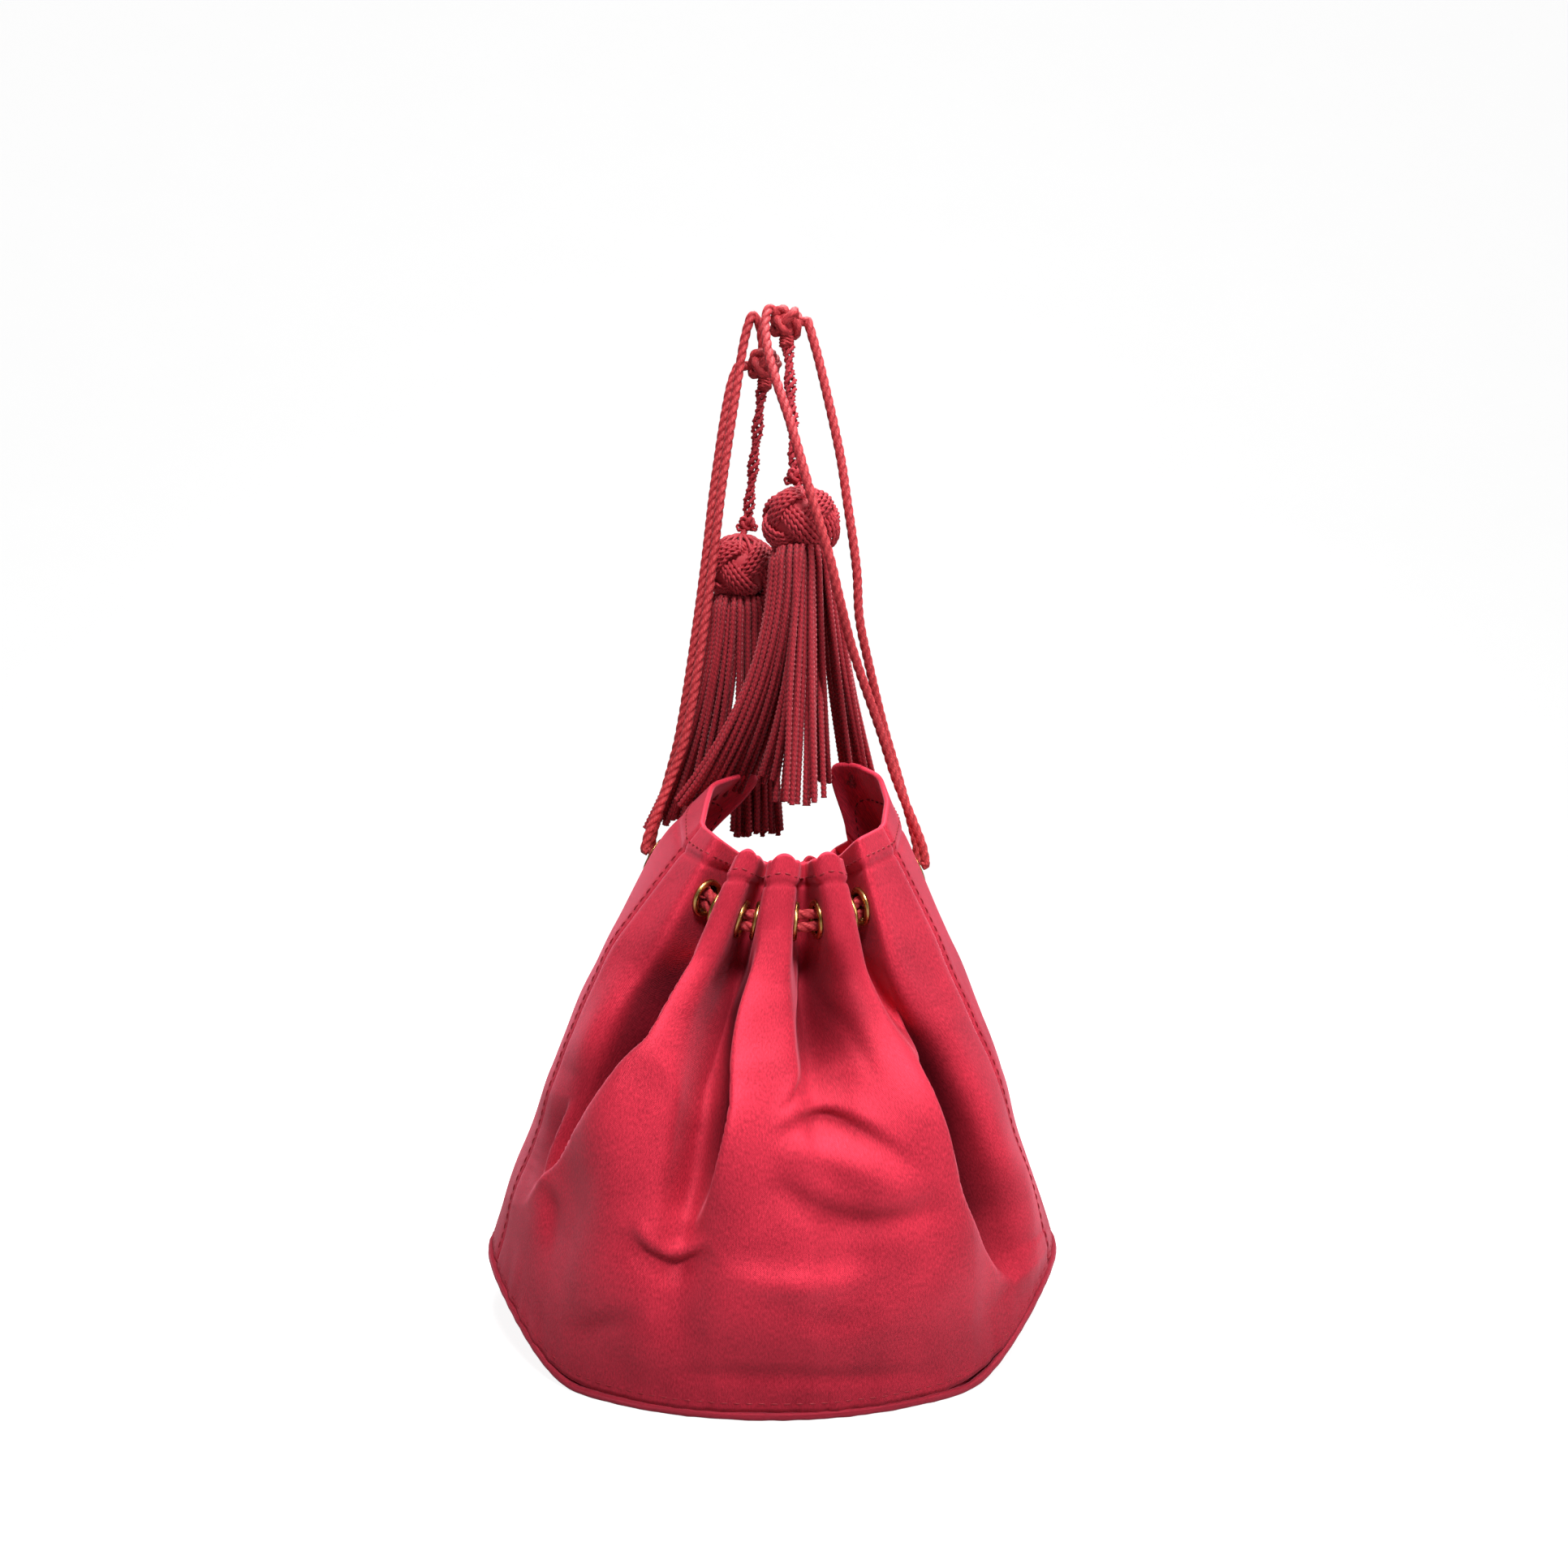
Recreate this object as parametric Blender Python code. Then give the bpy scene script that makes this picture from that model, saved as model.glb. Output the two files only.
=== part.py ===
"""Drawstring bucket bag: pleated fabric body on a bent oval base, two twisted cords through eyelets, two tassels.

Lengths in the tables are centimetres; everything is turned into metres when a mesh is made.
Front is -Y, +Z is up, the middle of the base stands on z = 0.
"""
import math

import bpy
from mathutils import Matrix, Vector

CM = 0.01

# ---- base -------------------------------------------------------------------------------------------------
BASE_A = 9.8            # half width of the oval base, along X
BASE_B = 8.0            # half depth of the oval base, along Y
LIFT = 2.30             # how far the pull of the cords lifts the two ends of the base
LIFT_START = 5.6        # half width of the flat middle
LIFT_POWER = 1.1
BASE_T = 0.14           # thickness of the base panel
PIPING_R = 0.11
FLOOR_GAP = 0.11        # between the base panel and the floor of the lining
PLATE_RINGS = (0.52, 0.66, 0.78, 0.89, 1.0)
CLEAR = 0.03            # gap left between neighbouring pieces

# ---- fabric -----------------------------------------------------------------------------------------------
FABRIC_T = 0.07
LINING_T = 0.06
LINING_OFFSET = -(FABRIC_T / 2 + CLEAR + 0.005 + LINING_T / 2)
CORNER = 0.27           # how far from a fold line the fabric starts to turn
BULGE = 0.85            # how far the lower front and back swell outward

# ---- height of the five rows that shape the side wall, as a share of the wall ------------------------------
ROW_BASE, ROW_LOW, ROW_MID, ROW_EYE, ROW_RIM = 0.0, 0.24, 0.5, 0.87, 1.0
ROW_BAND = 0.785        # the pleats run straight from here to the rim
FLAT_ROWS = 0.055       # the gussets run straight this far each way from the eyelets
WALL_ROWS = (0.0, 0.12, 0.25, 0.4, 0.55, 0.7, 0.8, 0.87, 0.935, 1.0)
LINING_ROWS = (0.015, 0.12, 0.25, 0.4, 0.55, 0.7, 0.8, 0.87, 0.935, 0.99)

# Fold lines of the front, left to right: angle of its foot on the base, then its place half way up, at the
# eyelets and at the rim.
FRONT_FOLDS = (
    (-70, (-7.20, -3.3, 8.7), (-3.90, -3.05, 14.85), (-2.35, -2.90, 16.85)),
    (-58, (-6.30, -5.2, 8.6), (-2.75, -4.50, 14.60), (-1.75, -4.20, 16.45)),
    (-50, (-5.45, -5.3, 8.6), (-1.50, -2.95, 14.55), (-1.00, -2.80, 16.10)),
    (-46, (-5.00, -5.6, 8.5), (-1.18, -2.90, 14.45), (-0.72, -2.75, 16.05)),
    (-37, (-4.45, -7.1, 8.5), (-2.00, -5.20, 14.00), (-1.12, -4.90, 16.10)),
    (-24, (-2.95, -7.5, 8.4), (-1.20, -5.10, 13.95), (-0.42, -4.80, 16.10)),
    (-17, (-2.35, -6.4, 8.3), (-0.85, -3.00, 13.90), (-0.30, -2.80, 15.90)),
    (-13, (-1.95, -6.4, 8.3), (-0.42, -3.00, 13.85), (0.05, -2.80, 15.85)),
    (-8, (-1.20, -7.7, 8.3), (-0.43, -5.30, 13.85), (-0.05, -5.00, 15.95)),
    (6, (0.75, -7.8, 8.3), (0.65, -5.20, 13.85), (0.85, -4.90, 15.95)),
    (10, (1.30, -7.3, 8.3), (0.72, -3.00, 13.85), (0.85, -2.90, 15.85)),
    (14, (1.80, -7.2, 8.3), (1.20, -3.00, 13.90), (1.25, -2.90, 15.90)),
    (22, (3.10, -7.6, 8.3), (1.79, -5.10, 13.90), (1.35, -4.90, 16.00)),
    (36, (4.90, -6.9, 8.4), (2.70, -5.00, 13.95), (2.25, -4.80, 16.00)),
    (48, (5.00, -5.5, 8.5), (2.15, -2.90, 14.20), (1.90, -2.80, 16.00)),
    (52, (5.40, -5.3, 8.5), (2.50, -2.90, 14.30), (2.25, -2.80, 16.05)),
    (60, (6.35, -5.3, 8.6), (3.30, -4.75, 14.30), (2.75, -4.35, 16.40)),
    (70, (7.40, -3.3, 8.7), (4.75, -2.95, 14.70), (3.70, -2.90, 16.80)),
)
# Fold lines of the right gusset, front to back, between the two seams.
RIGHT_FOLDS = (
    (84, (7.85, -0.8, 8.8), (5.25, -0.20, 15.25), (4.00, -1.10, 17.70)),
    (91, (7.95, 0.9, 8.8), (5.10, 1.35, 15.40), (3.85, 0.35, 18.60)),
    (98, (7.90, 2.3, 8.7), (4.92, 2.88, 15.35), (2.95, 1.35, 19.10)),
    (104, (7.85, 2.9, 8.7), (4.80, 3.12, 15.00), (1.95, 2.05, 19.05)),
)
# Fold lines of the left gusset, back to front, between the two seams.
LEFT_FOLDS = (
    (-104, (-7.10, 3.2, 8.7), (-4.08, 3.10, 15.00), (-0.35, 2.15, 18.60)),
    (-98, (-7.50, 2.6, 8.7), (-4.12, 2.88, 15.60), (-1.20, 1.45, 18.70)),
    (-91, (-7.65, 0.9, 8.8), (-4.22, 1.35, 15.80), (-2.20, 0.30, 18.30)),
    (-84, (-7.60, -0.8, 8.8), (-4.30, -0.20, 15.70), (-2.30, -1.30, 17.60)),
)
# The back repeats the front, turned half a turn about this upright line, with a lower rim.
TURN_X, TURN_Y = 0.35, 0.1
BACK_RIM_DROP = 0.6

# ---- eyelets ----------------------------------------------------------------------------------------------
# (name, number of the fold line before it, share of the way to the next one)
FRONT_EYELETS = (
    ("outer_left", 1, 0.50),
    ("pleat_1_left", 3, 0.58),
    ("pleat_1_right", 5, 0.50),
    ("pleat_2_left", 7, 0.50),
    ("pleat_2_right", 9, 0.50),
    ("pleat_3_left", 11, 0.50),
    ("pleat_3_right", 13, 0.46),
    ("outer_right", 15, 0.50),
)
# (name, gusset fold line before it counted from the front, share of the way to the next one)
SIDE_EYELETS = (("front", 1, 0.54), ("back", 2, 0.44))
EYE_HOLE_R = 0.435
EYE_BARREL_R = 0.48
EYE_FLANGE_R = 0.64
EYE_FLANGE_T = 0.085
EYE_GRIP_OUT = 0.085    # face of the outer flange, measured from the middle of the fabric
EYE_GRIP_IN = -0.200
FABRIC_HOLE_R = 0.54
EYE_SEGMENTS = 10

# ---- cords ------------------------------------------------------------------------------------------------
CORD_R = 0.165
STACK = 0.200           # half the distance between the two cords lying one above the other
CORD_SIDES = 6
CORD_END = 0.175        # where the mouth run of a cord ends, outside its exit eyelet
PIVOT = 0.39            # where the free part begins, and about which it swings
DRAWSTRING_STEPS = 4    # straight pieces between two points of a route
LOOP_STEPS = 2

# Points of the two cords inside the mouth: the upper one leaves by the left side, the lower one by the right.
UPPER_START = ((-3.50, -1.20, 15.35), (-2.95, -2.95, 14.90))
UPPER_RIGHT = ((3.70, -3.30, 14.62), (4.05, -1.30, 14.85), (4.15, 0.40, 15.00), (4.05, 2.00, 14.95),
               (3.65, 3.05, 14.65))
UPPER_END = ((-3.00, 3.55, 14.35),)
LOWER_START = ((3.65, 3.15, 14.22),)
LOWER_LEFT = ((-2.95, 3.50, 13.95), (-3.25, 2.20, 14.45), (-3.30, 0.40, 14.80), (-3.25, -1.30, 14.80),
              (-2.85, -3.00, 14.45))
LOWER_END = ((3.70, -3.30, 14.22), (4.35, -1.20, 14.40))
LEFT_LOOP_FRONT = (
    (-4.50, 0.80, 16.60), (-3.72, 1.05, 18.60), (-3.20, 0.95, 20.10), (-2.70, 0.85, 22.80),
    (-2.18, 0.75, 26.40), (-1.82, 0.65, 29.30), (-1.22, 0.50, 33.20), (-0.98, 0.40, 34.50), (-0.72, 0.40, 35.20),
    (-0.48, 0.60, 34.90), (-0.40, 0.75, 34.45),
)
LEFT_LOOP_BACK = (
    (-4.50, 2.15, 16.55), (-3.95, 2.20, 18.60), (-3.52, 1.80, 20.10), (-3.02, 1.35, 22.80),
    (-2.50, 1.20, 26.40), (-2.15, 1.15, 29.30), (-1.62, 1.05, 32.60), (-1.30, 1.10, 33.60), (-1.08, 1.10, 33.65),
)
RIGHT_LOOP_FRONT = (
    (5.38, 0.68, 16.20), (4.45, 0.55, 18.50), (3.84, 0.00, 20.20), (2.77, -1.00, 23.00),
    (2.31, -1.75, 24.50), (1.94, -2.15, 25.90), (1.27, -2.30, 28.10), (0.62, -2.00, 30.50), (-0.05, -1.30, 32.80),
    (-0.26, -0.75, 34.30), (-0.17, -0.52, 34.98), (-0.06, -0.43, 35.08),
)
RIGHT_LOOP_BACK = (
    (5.34, 2.10, 16.20), (4.72, 2.05, 18.50), (4.10, 1.70, 20.50), (3.50, 1.00, 22.70),
    (3.12, 0.50, 24.30), (3.00, 0.20, 26.00), (2.65, 0.00, 28.40), (2.37, 0.00, 30.20), (1.67, 0.00, 33.30),
    (1.34, 0.00, 34.50), (1.24, 0.00, 34.82),
)
RIGHT_KNOT = (0.49, 0.00, 34.75)
LEFT_KNOT = (-0.31, 0.90, 33.60)
KNOT_R = 0.60
KNOT_COLLAR_R = 0.34
KNOT_COLLAR_DROP = 0.85

# ---- tassels ----------------------------------------------------------------------------------------------
BRAID_R = 0.13
BOW_R = 0.40
HEAD_R = 1.37
HEAD_H = 2.44
SKIRT_TOP_R = 1.15
RIGHT_TASSEL = {"top": (0.56, 0.0, 33.80), "bow": (0.80, -0.45, 29.15), "head": (1.00, -0.50, 27.50),
                "end": (1.02, -0.45, 17.50), "spread": 1.40}
LEFT_TASSEL = {"top": (-0.42, 1.00, 32.65), "bow": (-0.98, 1.90, 28.10), "head": (-1.23, 2.00, 26.45),
               "end": (-1.60, 4.40, 17.50), "spread": 1.35}


# ---- small helpers ----------------------------------------------------------------------------------------
def clear_scene():
    for old in list(bpy.data.objects):
        bpy.data.objects.remove(old, do_unlink=True)


def mesh_object(name, points, faces):
    """Make one closed object from points in centimetres."""
    mesh = bpy.data.meshes.new(name)
    mesh.from_pydata([tuple(c * CM for c in p) for p in points], [], faces)
    mesh.validate()
    obj = bpy.data.objects.new(name, mesh)
    bpy.context.scene.collection.objects.link(obj)
    return obj


def spline(knots, values, at, end_slope=None):
    """Smooth curve through values placed at rising knots, ending with a given slope."""
    last = len(knots) - 1
    i = 0
    while i < last - 1 and at > knots[i + 1]:
        i += 1
    span = knots[i + 1] - knots[i]
    t = (at - knots[i]) / span

    def slope(k):
        if k == 0:
            return (values[1] - values[0]) / (knots[1] - knots[0])
        if k == last and end_slope is not None:
            return end_slope
        if k == last:
            return (values[last] - values[last - 1]) / (knots[last] - knots[last - 1])
        return (values[k + 1] - values[k - 1]) / (knots[k + 1] - knots[k - 1])

    m0 = slope(i) * span
    m1 = slope(i + 1) * span
    h00 = 2 * t ** 3 - 3 * t ** 2 + 1
    h10 = t ** 3 - 2 * t ** 2 + t
    h01 = -2 * t ** 3 + 3 * t ** 2
    h11 = t ** 3 - t ** 2
    return values[i] * h00 + m0 * h10 + values[i + 1] * h01 + m1 * h11


def smooth_path(points, steps):
    """A smooth curve through hand-chosen points, with the same number of steps between each two."""
    route = [Vector(p) for p in points]
    marks = [0.0]
    for a, b in zip(route, route[1:]):
        marks.append(marks[-1] + (b - a).length)
    path = [route[0]]
    for low, high in zip(marks, marks[1:]):
        path += [spline(marks, route, low + (high - low) * k / steps) for k in range(1, steps + 1)]
    return path


def tube(name, path, radius, sides=CORD_SIDES, closed=False, round_start=False):
    """A round cord along a path."""
    radii = [radius] * len(path)
    if round_start:
        path = [path[0] - (path[1] - path[0]).normalized() * radius * 0.85] + path
        radii = [radius * 0.5] + radii
    count = len(path)
    points = []
    side = Vector((0.0, 0.0, 1.0))
    for i, centre in enumerate(path):
        before = path[i - 1] if (i or closed) else centre
        after = path[(i + 1) % count] if (i < count - 1 or closed) else centre
        along = (after - before).normalized()
        side = (side - along * side.dot(along)).normalized()
        other = along.cross(side)
        for k in range(sides):
            angle = 2 * math.pi * k / sides
            points.append(centre + (side * math.cos(angle) + other * math.sin(angle)) * radii[i])
    faces = []
    for i in range(count if closed else count - 1):
        j = (i + 1) % count
        for k in range(sides):
            m = (k + 1) % sides
            faces.append((i * sides + k, i * sides + m, j * sides + m, j * sides + k))
    if not closed:
        faces.append(tuple(reversed(range(sides))))
        faces.append(tuple((count - 1) * sides + k for k in range(sides)))
    return mesh_object(name, points, faces)


def turned(name, profile, origin, axis, segments):
    """Turn a closed profile of (radius, height) about an axis; radius 0 closes the end."""
    turn = Vector((0, 0, 1)).rotation_difference(Vector(axis)).to_matrix()
    origin = Vector(origin)
    points = []
    rings = []
    for radius, height in profile:
        if radius == 0:
            rings.append([len(points)])
            points.append(origin + turn @ Vector((0, 0, height)))
            continue
        ring = []
        for k in range(segments):
            angle = 2 * math.pi * k / segments
            ring.append(len(points))
            points.append(origin + turn @ Vector((radius * math.cos(angle), radius * math.sin(angle), height)))
        rings.append(ring)
    hollow = profile[0][0] > 0 and profile[-1][0] > 0
    pairs = list(zip(rings, rings[1:]))
    if hollow:
        pairs.append((rings[-1], rings[0]))
    faces = []
    for low, high in pairs:
        for k in range(segments):
            m = (k + 1) % segments
            if len(low) == 1:
                faces.append((low[0], high[m], high[k]))
            elif len(high) == 1:
                faces.append((low[k], low[m], high[0]))
            else:
                faces.append((low[k], low[m], high[m], high[k]))
    return mesh_object(name, points, faces)


# ---- the shape of the wall --------------------------------------------------------------------------------
def lift(x):
    """Height of the bent base at a distance x from its middle."""
    t = min(1.0, max(0.0, (abs(x) - LIFT_START) / (BASE_A - LIFT_START)))
    return LIFT * (t * t * (3 - 2 * t)) ** LIFT_POWER


def base_edge(angle):
    """Point of the base outline; 0 degrees is the middle of the front."""
    x = BASE_A * math.sin(math.radians(angle))
    y = -BASE_B * math.cos(math.radians(angle))
    return Vector((x, y, lift(x)))


def turned_fold(fold):
    """The fold line of the back that answers one of the front."""
    angle, mid, eye, rim = fold

    def turn(p, drop=0.0):
        return (2 * TURN_X - p[0], 2 * TURN_Y - p[1], p[2] - drop)

    return (angle + 180, turn(mid), turn(eye, BACK_RIM_DROP / 2), turn(rim, BACK_RIM_DROP))


def fold_line(fold):
    """The five points that shape one fold line, foot to rim."""
    angle, mid, eye, rim = fold
    foot = base_edge(angle) + Vector((0, 0, 2 * PIPING_R + 2 * CLEAR + FABRIC_T / 2))
    mid = Vector(mid)
    outward = Vector((math.sin(math.radians(angle)), -math.cos(math.radians(angle)), 0))
    swell = BULGE * math.cos(math.radians(angle)) ** 2
    low = foot.lerp(mid, 0.45) + outward * swell
    return (foot, low, mid, Vector(eye), Vector(rim))


FOLDS = (FRONT_FOLDS + RIGHT_FOLDS + tuple(turned_fold(f) for f in FRONT_FOLDS)
         + tuple(LEFT_FOLDS))
LINES = [fold_line(f) for f in FOLDS]
FRONT_START = 0
RIGHT_SEAM = len(FRONT_FOLDS) - 1
BACK_START = len(FRONT_FOLDS) + len(RIGHT_FOLDS)
BACK_END = BACK_START + len(FRONT_FOLDS) - 1
LINE_COUNT = len(LINES)
SEAMS = (FRONT_START, RIGHT_SEAM, BACK_START, BACK_END)
PLEAT_ROWS = (ROW_BASE, ROW_LOW, ROW_MID, ROW_BAND)
GUSSET_ROWS = (ROW_BASE, ROW_LOW, ROW_MID, ROW_EYE - FLAT_ROWS, ROW_EYE + FLAT_ROWS, ROW_RIM)


def fold_point(line, height):
    """Point of a fold line at a share of the wall height."""
    line %= LINE_COUNT
    foot, low, mid, eye, rim = LINES[line]
    if RIGHT_SEAM < line < BACK_START or line > BACK_END:
        run = (rim - mid) / (ROW_RIM - ROW_MID)
        route = (foot, low, mid, eye - run * FLAT_ROWS, eye + run * FLAT_ROWS, rim)
        return spline(GUSSET_ROWS, route, height)
    run = (rim - eye) / (ROW_RIM - ROW_EYE)
    if height >= ROW_BAND:
        return rim + run * (height - ROW_RIM)
    return spline(PLEAT_ROWS, (foot, low, mid, rim + run * (ROW_BAND - ROW_RIM)), height, end_slope=run)


def wall_point(line, share, height):
    """Point between one fold line and the next."""
    return fold_point(line, height).lerp(fold_point(line + 1, height), share)


def wall_normal(line, share, height):
    """Outward direction of the wall at a point of a flank."""
    step = 0.03
    across = wall_point(line, min(1.0, share + step), height) - wall_point(line, max(0.0, share - step), height)
    up = wall_point(line, share, min(1.0, height + step)) - wall_point(line, share, height - step)
    return across.cross(up).normalized()


def column_places():
    """Where the upright grid lines stand: on each side of every fold line, and on each side of every seam."""
    places = []
    for line in range(LINE_COUNT):
        width = (fold_point(line, ROW_EYE) - fold_point(line + 1, ROW_EYE)).length
        gap = CLEAR / 2 / (fold_point(line, ROW_MID) - fold_point(line + 1, ROW_MID)).length
        turn = min(0.34, CORNER / width)
        if line in SEAMS:
            places.append((line, gap))
        places.append((line, turn))
        places.append((line, 1.0 - turn))
        if (line + 1) % LINE_COUNT in SEAMS:
            places.append((line, 1.0 - gap))
    return places


def wall_grid(rows, offset):
    """Points of the whole wall pushed sideways by an offset, column by column."""
    grid = [[wall_point(line, share, row) for row in rows] for line, share in column_places()]
    count = len(grid)
    pushed = []
    for i in range(count):
        left = grid[i - 1]
        right = grid[(i + 1) % count]
        column = []
        for j in range(len(rows)):
            across = (grid[i][j] - left[j]).normalized() + (right[j] - grid[i][j]).normalized()
            up = grid[i][min(j + 1, len(rows) - 1)] - grid[i][max(j - 1, 0)]
            column.append(grid[i][j] + across.cross(up).normalized() * offset)
        pushed.append(column)
    return pushed


def shell(name, rows, offset, thickness, first=0, last=0):
    """A thin closed sheet following the wall from one fold line to another, or all the way round."""
    closed = first == last
    chosen = [i for i, (line, _) in enumerate(column_places()) if closed or first <= line < last]
    outer = [wall_grid(rows, offset + thickness / 2)[i] for i in chosen]
    inner = [wall_grid(rows, offset - thickness / 2)[i] for i in chosen]
    tall = len(rows)
    count = len(chosen)
    points = [p for column in outer for p in column] + [p for column in inner for p in column]
    shift = count * tall
    faces = []
    for i in range(count if closed else count - 1):
        n = (i + 1) % count
        for j in range(tall - 1):
            a, b, c, d = i * tall + j, n * tall + j, n * tall + j + 1, i * tall + j + 1
            faces.append((a, b, c, d))
            faces.append((shift + a, shift + d, shift + c, shift + b))
        bottom, top = 0, tall - 1
        faces.append((i * tall + bottom, shift + i * tall + bottom, shift + n * tall + bottom, n * tall + bottom))
        faces.append((i * tall + top, n * tall + top, shift + n * tall + top, shift + i * tall + top))
    if not closed:
        for j in range(tall - 1):
            faces.append((j, j + 1, shift + j + 1, shift + j))
            k = (count - 1) * tall + j
            faces.append((k, shift + k, shift + k + 1, k + 1))
    return mesh_object(name, points, faces)


# ---- pieces -----------------------------------------------------------------------------------------------
def eyelet_places():
    """(name, line, share) of every eyelet, in the order the cords pass them from the left front."""
    places = []
    for name, line, share in FRONT_EYELETS:
        places.append(("eyelet_front_" + name, line, share))
    for name, step, share in SIDE_EYELETS:
        places.append(("eyelet_right_exit_" + name, RIGHT_SEAM + step, share))
    for name, line, share in FRONT_EYELETS:
        places.append(("eyelet_back_" + name, BACK_START + line, share))
    for name, step, share in SIDE_EYELETS:
        places.append(("eyelet_left_exit_" + name, LINE_COUNT - step - 1, 1 - share))
    return places


def eyelet_frame(line, share):
    """Centre and outward direction of an eyelet."""
    return wall_point(line, share, ROW_EYE), wall_normal(line, share, ROW_EYE)


def make_eyelets():
    """Metal rings; returns the frame of each by name."""
    frames = {}
    out = EYE_GRIP_OUT
    inn = EYE_GRIP_IN
    thick = EYE_FLANGE_T
    profile = (
        (EYE_HOLE_R, out + thick), (EYE_HOLE_R, inn - thick), (EYE_FLANGE_R, inn),
        (EYE_BARREL_R, inn), (EYE_BARREL_R, out), (EYE_FLANGE_R, out),
    )
    for name, line, share in eyelet_places():
        centre, normal = eyelet_frame(line, share)
        frames[name] = (centre, normal)
        turned(name, profile, centre, normal, EYE_SEGMENTS)
    return frames


def cut_eyelet_holes(sheets, frames):
    """Open a round hole under every eyelet in the sheets it passes."""
    cutters = []
    for name, (centre, normal) in frames.items():
        profile = ((0, -0.30), (FABRIC_HOLE_R, -0.30), (FABRIC_HOLE_R, 0.22), (0, 0.22))
        cutter = turned("cutter_" + name, profile, centre, normal, 8)
        cutter.hide_render = True
        cutter.display_type = 'WIRE'
        cutters.append((name, cutter))
    for sheet, prefixes in sheets:
        for name, cutter in cutters:
            if name.startswith(prefixes):
                cut = sheet.modifiers.new(name, 'BOOLEAN')
                cut.operation = 'DIFFERENCE'
                cut.solver = 'EXACT'
                cut.object = cutter


def make_wall():
    """Outer panels, gussets and the lining, with their eyelet holes."""
    front = shell("front_panel", WALL_ROWS, 0.0, FABRIC_T, FRONT_START, RIGHT_SEAM)
    right = shell("right_gusset", WALL_ROWS, 0.0, FABRIC_T, RIGHT_SEAM, BACK_START)
    back = shell("back_panel", WALL_ROWS, 0.0, FABRIC_T, BACK_START, BACK_END)
    left = shell("left_gusset", WALL_ROWS, 0.0, FABRIC_T, BACK_END, LINE_COUNT)
    lining = shell("lining", LINING_ROWS, LINING_OFFSET, LINING_T)
    return (
        (front, ("eyelet_front",)), (right, ("eyelet_right",)), (back, ("eyelet_back",)),
        (left, ("eyelet_left",)), (lining, ("eyelet_",)),
    )


def oval_plate(name, shrink, low, high, sides=32):
    """A flat oval sheet bent with the base, between two heights above it."""
    points = []
    rings = len(PLATE_RINGS)
    for height in (low, high):
        points.append(Vector((0, 0, height)))
        for reach in PLATE_RINGS:
            for k in range(sides):
                angle = 360.0 * k / sides
                x = (BASE_A - shrink) * math.sin(math.radians(angle)) * reach
                y = -(BASE_B - shrink) * math.cos(math.radians(angle)) * reach
                points.append(Vector((x, y, lift(x) + height)))
    layer = 1 + rings * sides
    faces = []
    for k in range(sides):
        m = (k + 1) % sides
        faces.append((0, 1 + m, 1 + k))
        faces.append((layer, layer + 1 + k, layer + 1 + m))
        for ring in range(rings - 1):
            a, b = 1 + ring * sides + k, 1 + ring * sides + m
            c, d = a + sides, b + sides
            faces.append((a, b, d, c))
            faces.append((layer + a, layer + c, layer + d, layer + b))
        a, b = 1 + (rings - 1) * sides + k, 1 + (rings - 1) * sides + m
        faces.append((a, b, layer + b, layer + a))
    return mesh_object(name, points, faces)


def make_base():
    """The base panel, the piping round it and the floor of the lining."""
    oval_plate("base_panel", PIPING_R + CLEAR + 0.02, 0.0, BASE_T)
    rim = [base_edge(360.0 * k / 56) + Vector((0, 0, PIPING_R)) for k in range(56)]
    tube("base_piping", rim, PIPING_R, sides=4, closed=True)
    oval_plate("lining_floor", 0.45, BASE_T + FLOOR_GAP, BASE_T + FLOOR_GAP + LINING_T)


def through_eyelets(frames, panel, height):
    """Route of one cord through a panel's eyelets, at a height above their middles."""
    return [frames["eyelet_%s_%s" % (panel, name)][0] + Vector((0, 0, height)) for name, _, _ in FRONT_EYELETS]


def exit_points(frames, side, which):
    """Just outside and just inside one of the side eyelets."""
    centre, normal = frames["eyelet_%s_exit_%s" % (side, which)]
    return centre + normal * CORD_END, centre - normal * 0.35


def make_drawstrings(frames):
    """The two cords that run round the mouth through the eyelets."""
    out_a, in_a = exit_points(frames, "left", "front")
    out_b, in_b = exit_points(frames, "left", "back")
    upper = [out_a, in_a, *UPPER_START, *through_eyelets(frames, "front", STACK), *UPPER_RIGHT]
    upper += [*through_eyelets(frames, "back", STACK), *UPPER_END, in_b, out_b]
    tube("left_drawstring", smooth_path(upper, DRAWSTRING_STEPS), CORD_R)
    out_a, in_a = exit_points(frames, "right", "front")
    out_b, in_b = exit_points(frames, "right", "back")
    lower = [out_b, in_b, *LOWER_START, *through_eyelets(frames, "back", -STACK), *LOWER_LEFT]
    lower += [*through_eyelets(frames, "front", -STACK), *LOWER_END, in_a, out_a]
    tube("right_drawstring", smooth_path(lower, DRAWSTRING_STEPS), CORD_R)


def make_loop(name, strands, knot, frames):
    """The two free strands of a cord and the button knot that joins them."""
    for which, route in strands.items():
        centre, normal = frames["eyelet_%s_exit_%s" % (name, which)]
        path = smooth_path((centre + normal * PIVOT,) + route, LOOP_STEPS)
        tube("%s_loop_%s_strand" % (name, which), path, CORD_R, round_start=True)
    profile = [(0, -KNOT_COLLAR_DROP), (KNOT_COLLAR_R, -KNOT_COLLAR_DROP), (KNOT_COLLAR_R * 0.9, -0.66)]
    for step in range(1, 7):
        angle = math.radians(-90 + 30 * step - 8)
        profile.append((KNOT_R * math.cos(angle), KNOT_R * math.sin(angle)))
    profile[-1] = (0, KNOT_R)
    turned(name + "_knot", profile, knot, (0, 0, 1), 10)


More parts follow.
